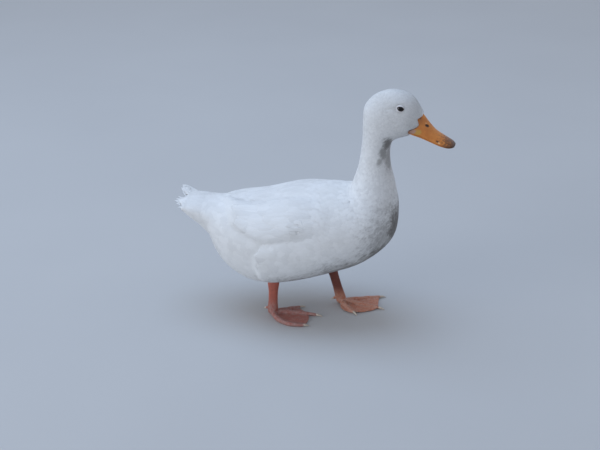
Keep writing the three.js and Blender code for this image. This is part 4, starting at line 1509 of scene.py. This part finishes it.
def toe_marks(mesh, leg):
    """For the scutes: how far along the nearest toe or shank each point is, and how far from its line."""
    points = scene_mm(read(mesh.vertices, "co", 3))
    best = np.full(len(points), 99.0)
    along = np.zeros(len(points))
    t = np.linspace(0, 1, 60)
    lines = [toe_line(leg, toe, t * flesh_share(toe)) + (0, 0, 3) for toe in leg["toes"].values()]
    lines.append(np.array(leg["joint"]) + (np.array(leg["hock"]) - np.array(leg["joint"])) * t[:, None])
    for line in lines:
        length = np.concatenate([[0], np.cumsum(np.linalg.norm(np.diff(line, axis=0), axis=1))])
        gaps = np.linalg.norm(points[:, None] - line[None], axis=-1)
        near = gaps.argmin(1)
        closer = gaps.min(1) < best
        best = np.where(closer, gaps.min(1), best)
        along = np.where(closer, length[near], along)
    store(mesh, "along", along)
    store(mesh, "off", best)
    # Nothing goes below the floor.
    points[:, 2] = np.maximum(points[:, 2], 0.0)
    mesh.vertices.foreach_set("co", to_scene(points).astype(np.float32).ravel())


# %% [markdown]
# Scutes run across the front of the shank and the tops of the toes like roof tiles; the webs and sides
# have a fine net of small scales. Both come from two marks kept on each point: how far it is along the
# nearest toe, and how far off its line.

# %% The legs' finish
SCUTE = 2.3  # length of a scute, in millimetres


def leg_finish(name, shank, red, dull, dust):
    """Scaly skin: one colour for the shank, red and dull ones for the foot, and dust on it."""
    made, tree, surface, place = new_material(name)
    wander = maths(tree, "MULTIPLY", noise(tree, place, 300.0, 2.0), 0.9)
    phase = maths(tree, "ADD", maths(tree, "DIVIDE", point_mark(tree, "along"), SCUTE), wander)
    band = maths(tree, "POWER", maths(tree, "FRACT", phase), 5.0)
    band = maths(tree, "SUBTRACT", 1.0, band)
    net = add_node(
        tree,
        "ShaderNodeTexVoronoi",
        {"Vector": place, "Scale": 900.0},
        feature="DISTANCE_TO_EDGE",
    )
    net = step(tree, net.outputs["Distance"], 0.0, 0.22)
    on_toe = maths(tree, "SUBTRACT", 1.0, step(tree, point_mark(tree, "off"), 5.5, 7.5))
    scales = maths(tree, "ADD", maths(tree, "MULTIPLY", band, on_toe), maths(tree, "MULTIPLY", net, 0.6))
    folds = noise(tree, place, 260.0, 4.0, 0.6)
    relief(tree, surface, maths(tree, "ADD", scales, maths(tree, "MULTIPLY", folds, 1.6)), 0.28 * MM, 0.8)
    high = add_node(tree, "ShaderNodeSeparateXYZ", {"Vector": place}).outputs["Z"]
    on_foot = maths(tree, "SUBTRACT", 1.0, step(tree, high, 0.010, 0.034))
    dusty = maths(tree, "MULTIPLY", maths(tree, "MULTIPLY", on_toe, on_foot), step(tree, folds, 0.2, 0.7))
    foot = mix_colour(tree, step(tree, folds, 0.3, 0.7), red, dull)
    foot = mix_colour(tree, maths(tree, "MULTIPLY", dusty, 0.6), foot, dust)
    shaft = mix_colour(tree, step(tree, folds, 0.3, 0.8), shank, tuple(0.8 * c for c in shank))
    colour = mix_colour(tree, on_foot, shaft, foot)
    scute = maths(tree, "MULTIPLY_ADD", band, on_toe, maths(tree, "SUBTRACT", 1.0, on_toe))
    crack = maths(tree, "SUBTRACT", 1.0, maths(tree, "MINIMUM", scute, net))
    crack = maths(tree, "MULTIPLY", crack, 0.45)
    colour = mix_colour(tree, crack, colour, tuple(0.35 * c for c in red))
    rough = maths(tree, "MULTIPLY_ADD", folds, 0.25, 0.36)
    set_surface(tree, surface, Base_Color=colour, Roughness=rough, Specular_IOR_Level=0.4)
    return made


# Each row: shank, red, dull and dust. The left leg's shank stands in the body's shade, and that shade is
# painted into its darker shank colour.
LEG_COLOURS = {
    "right": ((0.57, 0.15, 0.095), (0.44, 0.125, 0.09), (0.50, 0.235, 0.18), (0.56, 0.38, 0.34)),
    "left": ((0.20, 0.055, 0.04), (0.60, 0.19, 0.10), (0.66, 0.33, 0.22), (0.66, 0.42, 0.32)),
}
LEG_SKINS = {
    "right": leg_finish("leg_skin_near", *LEG_COLOURS["right"]),
    "left": leg_finish("leg_skin_far", *LEG_COLOURS["left"]),
}
for name, leg in LEGS.items():
    mesh = melted(f"leg_{name}", leg_parts(leg), VOXEL)
    toe_marks(mesh, leg)
    mesh.materials.clear()
    mesh.materials.append(LEG_SKINS[name])
    mesh.name = f"leg_{name}_skin"
    made = worn(shown(mesh.name, mesh))
    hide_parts(f"shank_{name}", f"foot_{name}")

# %% Claws
CLAW_HORN = horn_finish("claw_horn", (0.50, 0.40, 0.30), (0.66, 0.58, 0.47), 700.0)


def claw_rings(base, along, length, drop):
    """A claw arches forwards and comes down to a blunt point. It is flat below."""
    t = np.linspace(0, 1, 20)
    tip = base + along * length - (0, 0, drop)
    middle = base + along * length * 0.6 + (0, 0, 0.6)
    path = bezier(base, middle, tip, t)
    wide = 1.55 + (0.4 - 1.55) * t**1.3
    tall = 1.9 + (0.4 - 1.9) * t**1.2
    rings = swept(path, wide, tall, 14)
    rings[..., 2] = np.maximum(rings[..., 2], 0.0)
    return rings


for name, leg in LEGS.items():
    _, along, tip = hind_toe(leg)
    starts = {"hind": (tip - along * 0.8, along, 5.6, 0.8)}
    for toe_name, toe in leg["toes"].items():
        base, point = toe_line(leg, toe, [flesh_share(toe), 1.0])
        base[2] = point[2] = 2.7 * TOE_HEIGHT
        way = unit(point - base)
        starts[toe_name] = (base - way * 0.9, way, float(np.linalg.norm(point - base)) + 0.9, 2.0)
    for toe_name, (base, way, length, drop) in starts.items():
        rings = claw_rings(base, way, length, drop)
        claw = tube_piece(f"claw_horn_{name}_{toe_name}", rings, CLAW_HORN)
        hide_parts(f"claw_{name}_{toe_name}")

# %% [markdown]
# ## Long feathers of wings and tail
#
# A folded wing is a stack: the flight feathers lie at the bottom with their tips crossing over the
# rump, the inner ones and the coverts over them, and soft feathers of the shoulder over those. Strewn
# feathers can't show that order, so these are laid one by one from a table of fans. Each fan is a row
# of feathers between a first and a last one, given by station and angle at root and tip, and by their
# height over the skin. A feather is drawn in the skin's own two directions, so it hugs the body.

# %% One long feather laid on the skin
def steer(station, turn, gap):
    """Station and turn moved by a small gap, in millimetres, along the skin."""
    ahead, beside = rib_ways(station, turn, 0.01)
    aa, ar, rr = (ahead**2).sum(-1), (ahead * beside).sum(-1), (beside**2).sum(-1)
    ga, gr = (gap * ahead).sum(-1), (gap * beside).sum(-1)
    share = aa * rr - ar**2
    return station + (ga * rr - gr * ar) / share, turn + (gr * aa - ga * ar) / share


# How much higher one edge of a vane lies than its middle, so that each overlaps the next.
SHINGLE = 0.04


def soft_rim(t, v, dip):
    """How far a vane sinks towards its tip and edges, so that it melts into those around it."""
    return dip * (t[:, None] ** 7 + 0.8 * v**4)


def vane_outline(t, wide, tip=0.74):
    """Half the width of a long feather along it: narrow at the root, rounded at the tip."""
    end = np.sqrt(np.clip(1 - (np.maximum(t - tip, 0) / (1.0 - tip)) ** 2.2, 0, 1))
    return wide / 2 * (0.4 + 0.6 * ease(t, 0, 0.4)) * np.maximum(end, 0.06)


def parted(half, rows, draw, least):
    """Gaps where barbs have parted: short steps in one edge or the other."""
    for _ in range(draw.integers(1, 4)):
        row = draw.integers(rows // 2, rows - 1)
        edge = slice(0, 2) if draw.random() < 0.5 else slice(-2, None)
        half[row, edge] *= draw.uniform(least, 0.97)
    return half


VANE_ROWS, VANE_COLUMNS = 22, 8


def laid_vane(root, tip, wide, heights, bow, side, draw, ruffle=0.0, dip=0.4, hold=0.0):
    """Top and bottom grids of one feather, in millimetres, with each point's place on the vane.

    hold keeps the tip as high as the mound is that much further forward, so that it stands out behind it.
    """
    t = np.linspace(0, 1, VANE_ROWS) ** 0.9
    v = np.linspace(-1, 1, VANE_COLUMNS + 1)
    station = root[0] + (tip[0] - root[0]) * t
    turn = side * np.radians(root[1] + (tip[1] - root[1]) * t + bow * 4 * t * (1 - t))
    line = rib_point(station, turn)
    along = unit(np.gradient(line, axis=0))
    across = unit(np.cross(rib_normal(station, turn), along))
    half = parted(vane_outline(t, wide)[:, None] * np.ones(len(v)), VANE_ROWS, draw, 0.85)
    barb = -0.16 * wide * v**2 * np.sin(math.pi * t)[:, None] * 0.6
    gap = across[:, None] * (half * v)[..., None] + along[:, None] * barb[..., None]
    station, turn = steer(station[:, None], turn[:, None], gap)
    wave = ruffle * t[:, None] ** 2 * np.sin(v * draw.uniform(1, 3) + draw.uniform(0, 6)) * 0.8
    lift = ruffle * draw.uniform(0, 1) * t[:, None] ** 3
    over = heights[0] + (heights[1] - heights[0]) * t[:, None] ** 0.6
    over = over + side * SHINGLE * v + wave + lift - soft_rim(t, v, dip)
    if hold:
        over = over + mound_lift(station + hold * t[:, None] ** 2, turn) - mound_lift(station, turn)
    thick = (0.07 - 0.03 * t[:, None]) * np.ones(len(v))
    station = np.clip(station, 0.0, LAST)
    top, bottom = skin_point(station, turn, over + thick), skin_point(station, turn, over - thick)
    place = np.stack(np.broadcast_arrays(v * half / wide, t[:, None]), -1)
    return top, bottom, place


# %% Long feathers gathered into one mesh
LONG_VANE = feather_finish("long_vane_white", 60, 0.10, 0.05)
print("finish:", LONG_VANE.name)


class Vanes:
    """Closed vanes gathered into one mesh."""

    def __init__(self):
        self.points, self.faces, self.places, self.roots, self.tones = [], [], [], [], []
        self.count = 0

    def add(self, top, bottom, place, root, tone):
        points, faces = closed_patch(top, bottom)
        self.points.append(points)
        self.faces += [tuple(i + self.count for i in face) for face in faces]
        self.places.append(np.concatenate([place.reshape(-1, 2)] * 2))
        self.roots.append(np.broadcast_to(root, (len(points), 2)))
        self.tones.append(np.full(len(points), tone))
        self.count += len(points)

    def piece(self, name):
        made = mesh_object(name, to_scene(np.concatenate(self.points)), self.faces)
        outward(made)
        mesh = made.data
        store(mesh, "vane_place", np.pad(np.concatenate(self.places), ((0, 0), (0, 1))))
        store(mesh, "tone", np.concatenate(self.tones))
        patch_uv(mesh, np.concatenate(self.roots))
        mesh.materials.append(LONG_VANE)
        return worn(made)


# %% [markdown]
# Fans are listed from the bottom of the stack to its top. Angles are measured down from the ridge of
# the back, the same on both sides, and each side draws its own small irregularities.

# %% Fans of the wing
# Each row: count, places of roots and of tips (station, angle), width, heights at root and tip, bow
# and ruffle.
FANS = [
    (16, [(6.0, 60), (5.9, 28)], [(4.2, 52), (3.75, 32), (3.2, 4)], 15, (1.4, 2.8), 3, 0.03),
    (18, [(6.9, 78), (5.5, 54)], [(5.4, 77), (4.75, 67), (4.05, 53)], 15, (1.4, 3.45), 2, 0.1),
    (16, [(6.5, 64), (6.2, 28)], [(4.5, 60), (3.75, 20)], 17, (1.6, 3.3), 2, 0.03),
    (20, [(7.0, 78), (6.1, 24)], [(5.8, 74), (4.75, 20)], 16, (1.6, 3.6), 1, 0.04),
    (22, [(7.4, 74), (6.9, 24)], [(6.4, 72), (5.6, 20)], 15, (1.2, 3.65), 1, 0.04),
    (14, [(7.0, 46), (6.6, 3)], [(5.2, 44), (4.4, 4)], 16, (1.4, 3.65), -2, 0.04),
    (14, [(7.6, 42), (7.3, 3)], [(6.1, 42), (5.4, 3)], 16, (1.2, 3.7), -2, 0.04),
]


def along_points(points, share):
    """A place on a smooth line through points, from 0 at its first to 1 at its last."""
    return spline(points, share * (len(points) - 1))


def lay_fans(name, fans, seed, stray, **shape):
    """Fans on both sides, one piece a side. stray is how far the tips stray in station and angle."""
    for side_name, side in SIDES_OF.items():
        draw = np.random.default_rng(seed + side)
        vanes = Vanes()
        for count, roots, tips, wide, heights, bow, ruffle in fans:
            for n in range(count):
                share = n / max(count - 1, 1)
                root = along_points(roots, share) + draw.normal(0, (0.03, 0.8))
                tip = along_points(tips, share) + draw.normal(0, stray)
                raised = np.array(heights) + 0.02 * (n % 3)
                width = wide * draw.uniform(0.92, 1.08)
                bend = bow + draw.normal(0, 0.7)
                grids = laid_vane(root, tip, width, raised, bend, side, draw, ruffle, **shape)
                vanes.add(*grids, (root[0], side * root[1]), draw.uniform(-1, 1))
        vanes.piece(f"{name}_{side_name}")


lay_fans("wing_feathers", FANS, 71, stray=(0.1, 0.9), dip=0.85)

# %% [markdown]
# Feathers of the flank stand out from the belly's side and close over the front of the wing's lower
# edge. They are broad and soft, and only where the side meets the bend of the wing a few short ones are
# ruffled.

# %% Flanks
FLANK_EDGE = [(6.15, 64), (5.84, 67), (5.74, 71), (5.52, 74)]
FLANK_EDGE += [(5.44, 79), (5.22, 83), (5.18, 88), (5.07, 94)]
FLANK_ROOTS = [(7.2, 80), (6.7, 88), (6.3, 96), (6.2, 100)]
THIGH_EDGE = [(5.1, 99), (5.12, 113), (5.26, 128), (5.55, 144)]
THIGH_ROOTS = [(6.1, 104), (6.1, 116), (6.2, 130), (6.5, 145)]


def further_on(points, by):
    """The same places, nearer to the bill by so many stations."""
    return [(station + by, angle) for station, angle in points]


FLANKS = [
    (7, [(6.25, 98), (6.15, 108)], [(5.12, 94), (5.14, 106)], 16, (1.2, 2.7), 2, 0.08),
    (18, FLANK_ROOTS, FLANK_EDGE, 16, (1.4, 3.1), 2, 0.08),
    (18, further_on(FLANK_ROOTS, 0.3), further_on(FLANK_EDGE, 0.3), 16, (1.6, 3.1), 2, 0.04),
]
lay_fans("flank_feathers", FLANKS, 83, stray=(0.03, 0.4), dip=0.5, hold=0.3)
THIGHS = [
    (18, THIGH_ROOTS, THIGH_EDGE, 16, (1.2, 3.5), 2, 0.05),
    (16, further_on(THIGH_ROOTS, 0.3), further_on(THIGH_EDGE, 0.3), 16, (1.2, 3.5), 2, 0.05),
]
lay_fans("thigh_feathers", THIGHS, 85, stray=(0.06, 0.8), dip=0.8)
RUFFLES = [
    (3, [(6.36, 72), (6.36, 64)], [(6.08, 69), (6.02, 61)], 6, (3.0, 3.7), -2, 0.08),
    (2, [(6.52, 70), (6.5, 64)], [(6.24, 67), (6.2, 60)], 6, (3.0, 3.7), -2, 0.08),
]
lay_fans("ruffled_feathers", RUFFLES, 87, stray=(0.02, 0.5), dip=0.0)

# %% [markdown]
# The tail is a low fan of stiff feathers on the same plane as the solid's, tilted up to its left and
# parted left of its middle. Softer coverts lead from the rump out over it, and from the vent out under
# it, so that no edge shows where the body ends. The body's end is tightly curved there, so every point
# of a covert, not only its shaft, is placed on the surface between the body and the fan.

# %% Tail fan
FAN_ROOT = np.array([-138.0, 0.0, 163.0])
FAN_SLOPE, FAN_ROLL = 0.103, 0.2
FAN_UP = unit(np.array([0.0, -FAN_ROLL, 1.0]))
# Each row: bearing at the root and at the tip, length, and how blunt the tip is.
TAIL_FEATHERS = [
    (26, 27.5, 68, 5),
    (20, 21, 64.5, 5),
    (13, 14, 57, 5),
    (7, 8, 51, 5),
    (2, 2, 47, 6),
    (-12, 0.3, 58, 3),
    (-14, -5.4, 60, 3),
    (-18, -10.5, 61.5, 4),
    (-21, -18.2, 59, 4),
    (-29, -28, 57.5, 5),
    (-36, -37, 55, 5),
]


def fan_point(bearing, reach):
    """A place on the tail fan, reach from its root along a bearing from straight back to the left."""
    bearing, reach = np.broadcast_arrays(np.radians(bearing), reach)
    x, y = -np.cos(bearing) * reach, np.sin(bearing) * reach
    return FAN_ROOT + np.stack([x, y, FAN_SLOPE * reach + FAN_ROLL * y], -1)


def tail_reach(bearing):
    """How far the tail's edge is from its root."""
    tips = np.array([(tip, length) for _, tip, length, _ in TAIL_FEATHERS[::-1]])
    return np.interp(bearing, tips[:, 0], tips[:, 1]) - 10 * bell(bearing / 5.0)


def tail_vanes(name, feathers, thick, dip, draw):
    """Closed vanes from the middle grid, the ways up, the half widths and the root of each."""
    vanes = Vanes()
    for middle, up, half, root in feathers:
        t, v = np.linspace(0, 1, middle.shape[0]), np.linspace(-1, 1, middle.shape[1])
        middle = middle - up * soft_rim(t, v, dip)[..., None]
        rise = up * (thick * (1 - 0.5 * t))[:, None, None]
        place = np.stack(np.broadcast_arrays(0.5 * v * half / half.max(), t[:, None]), -1)
        vanes.add(middle + rise, middle - rise, place, root, draw.uniform(-1, 1))
    return vanes.piece(name)


FAN_VANE_HALF, COVERT_HALF = 7.2, 7.5  # half widths of their feathers
draw = np.random.default_rng(97)
t, v = np.linspace(0, 1, 30)[:, None], np.linspace(-1, 1, 9)
fan = []
for bearing, tip, length, blunt in TAIL_FEATHERS:
    half = FAN_VANE_HALF * (0.75 + 0.25 * t) * (1 - t**blunt) ** (2.4 / blunt) * np.ones(len(v)) + 0.3
    half = parted(half, len(t), draw, 0.9)
    reach = length * t - 1.5 * v**2 * t**2
    aim = bearing + (tip - bearing) * t**3 + np.degrees(half * v / np.maximum(reach, 14))
    middle = fan_point(aim, reach) - FAN_UP * 0.3 * abs(bearing + 6) / 8
    fan.append((middle, np.broadcast_to(FAN_UP, middle.shape), half, (bearing, length)))
tail_vanes("tail_fan", fan, 0.2, 0.0, draw)

# %% Tail coverts
# Each row: how far its feathers end before the tail's edge, how far from the fan, how far over the
# plumage's own surface, and the station of its roots.
COVERTS = [(6, 0.3, -0.3, 1.2), (9, 0.55, -0.1, 1.8), (13, 0.8, 0.1, 2.4)]
COVERT_REACH = 46  # from the fan's root, where a covert's width is turned into a bearing
COVERT_EDGES = (-38, 29)  # bearings that no covert passes
BODY_END = dict(back=43, half=34)  # how far the body goes on behind the fan's root, and its half width
t = np.linspace(0, 1, 20)[:, None]
blend = spline(np.eye(4), 3 * t[:, 0])  # shares of the four places that each path runs through
# Each row: name, side of the fan, how deep the roots lie in the coat, how much lower the feathers lie
# than the height above, and how much they sink at the tail's two sides.
for name, sign, sunk, lower, sink in (("over", 1, 1.8, 0, 1.2), ("under", -1, 3.4, 0.6, 1.8)):
    coverts = []
    for short, gap, over, root in COVERTS:
        for bearing in np.linspace(-36, 26, 22) + draw.normal(0, 0.6, 22):
            half = COVERT_HALF * (0.6 + 0.4 * ease(t, 0, 0.4)) * np.sqrt(1 - 0.97 * t**5)
            half = parted(half * np.ones(len(v)), len(t), draw, 0.9)
            aim = np.clip(bearing + np.degrees(half * v / COVERT_REACH), *COVERT_EDGES)
            sine = BODY_END["back"] * np.tan(np.radians(aim)) / BODY_END["half"]
            turn = np.arcsin(np.clip(sine, -0.99, 0.99))
            turn = turn if sign > 0 else math.pi - turn
            reach = np.maximum(tail_reach(bearing) - short, 45.5 - short / 9)
            reach = reach + draw.normal(0, 0.5) - 1.5 * v**2
            high = over - lower - sink * ease(np.abs(np.sin(turn)), 0.8, 0.99)
            rises = ((root, -sunk), (0.55 * root, high), (0.25, high))
            path = [skin_point(place, turn, coat_depth(place) + rise) for place, rise in rises]
            path.append(fan_point(aim, reach) + sign * gap * FAN_UP)
            middle = np.einsum("rk,krcx->rcx", blend, np.array(path))
            body_up = rib_normal(0.5 * root, turn)
            up = unit(body_up * (1 - t[..., None]) + sign * FAN_UP * t[..., None])
            coverts.append((middle, up, half, (bearing, reach[0])))
    tail_vanes(f"tail_coverts_{name}", coverts, 0.09, 0.25, draw)

# %% [markdown]
# ## Floor, light and camera
#
# A pale floor that curves up behind isn't needed: a wide flat one under an even pale sky shows the duck
# well. One broad soft lamp above gives the cool top light, and a dimmer one from behind, low on the
# duck's right, lights the side and leaves the breast in soft shade.

# %% Floor
FLOOR_HALF = 30.0  # metres
corners = FLOOR_HALF * np.array([(-1, -1, 0), (1, -1, 0), (1, 1, 0), (-1, 1, 0)])
floor = mesh_object("floor", corners, [(0, 1, 2, 3)], smooth=False)
paper, tree, surface, place = new_material("pale_floor")
colour = mix_colour(tree, noise(tree, place, 3.0, 2.0), (0.50, 0.49, 0.475), (0.54, 0.53, 0.51))
set_surface(tree, surface, Base_Color=colour, Roughness=0.85, Specular_IOR_Level=0.2)
floor.data.materials.append(paper)
floor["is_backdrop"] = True
print("floor:", 2 * FLOOR_HALF, "m wide")

# %% Light
def soft_lamp(name, place, aim, size, power, colour):
    """A round lamp of a size in metres, aimed at a point."""
    data = bpy.data.lights.new(name, "AREA")
    data.shape = "DISK"
    data.size, data.energy, data.color = size, power, colour
    lamp = shown(name, data)
    lamp.location = place
    lamp.rotation_euler = (Vector(aim) - Vector(place)).to_track_quat("-Z", "Y").to_euler()
    print(f"{name}: {power} W from", place)


MIDDLE = (0.0, 0.0, 0.16)
soft_lamp("top_lamp", (-0.6, 0.3, 2.6), MIDDLE, 2.2, 34, (0.49, 0.69, 1.0))
soft_lamp("rear_lamp", (-2.2, -1.7, 0.7), MIDDLE, 1.3, 26, (0.82, 0.89, 1.0))
world = bpy.data.worlds.new("pale_sky")
bpy.context.scene.world = world
world.use_nodes = True
backdrop = world.node_tree.nodes["Background"]
backdrop.inputs["Color"].default_value = (0.78, 0.85, 1.0, 1.0)
backdrop.inputs["Strength"].default_value = 0.62
scene = bpy.context.scene
scene.view_settings.view_transform = "Standard"
scene.view_settings.look = "None"

# %% Camera
CAMERA_PLACE = (383.75, -1849.28, 988.78)  # in the measuring frame
TURN, TILT = 12.0, 24.2  # degrees: round from the duck's right side, and down
camera_data = bpy.data.cameras.new("camera")
camera_data.lens, camera_data.sensor_width = 84.0, 36.0
camera_data.clip_end = 100.0
camera = shown("camera", camera_data)
camera.location = to_scene(CAMERA_PLACE)
camera.rotation_euler = (math.radians(90 - TILT), 0, math.radians(TURN))
scene.camera = camera
print("camera at", tuple(camera.location))

# %% [markdown]
# ## Size
#
# The dressed duck is meant to keep the solids' size, so both boxes are gathered side by side.

# %% Gather the sizes
dressed_low, dressed_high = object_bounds()
sizes = {
    "cad": [list(cad_low), list(cad_high)],
    "visual": [list(dressed_low), list(dressed_high)],
}
print("dressed from", tuple(dressed_low), "to", tuple(dressed_high))
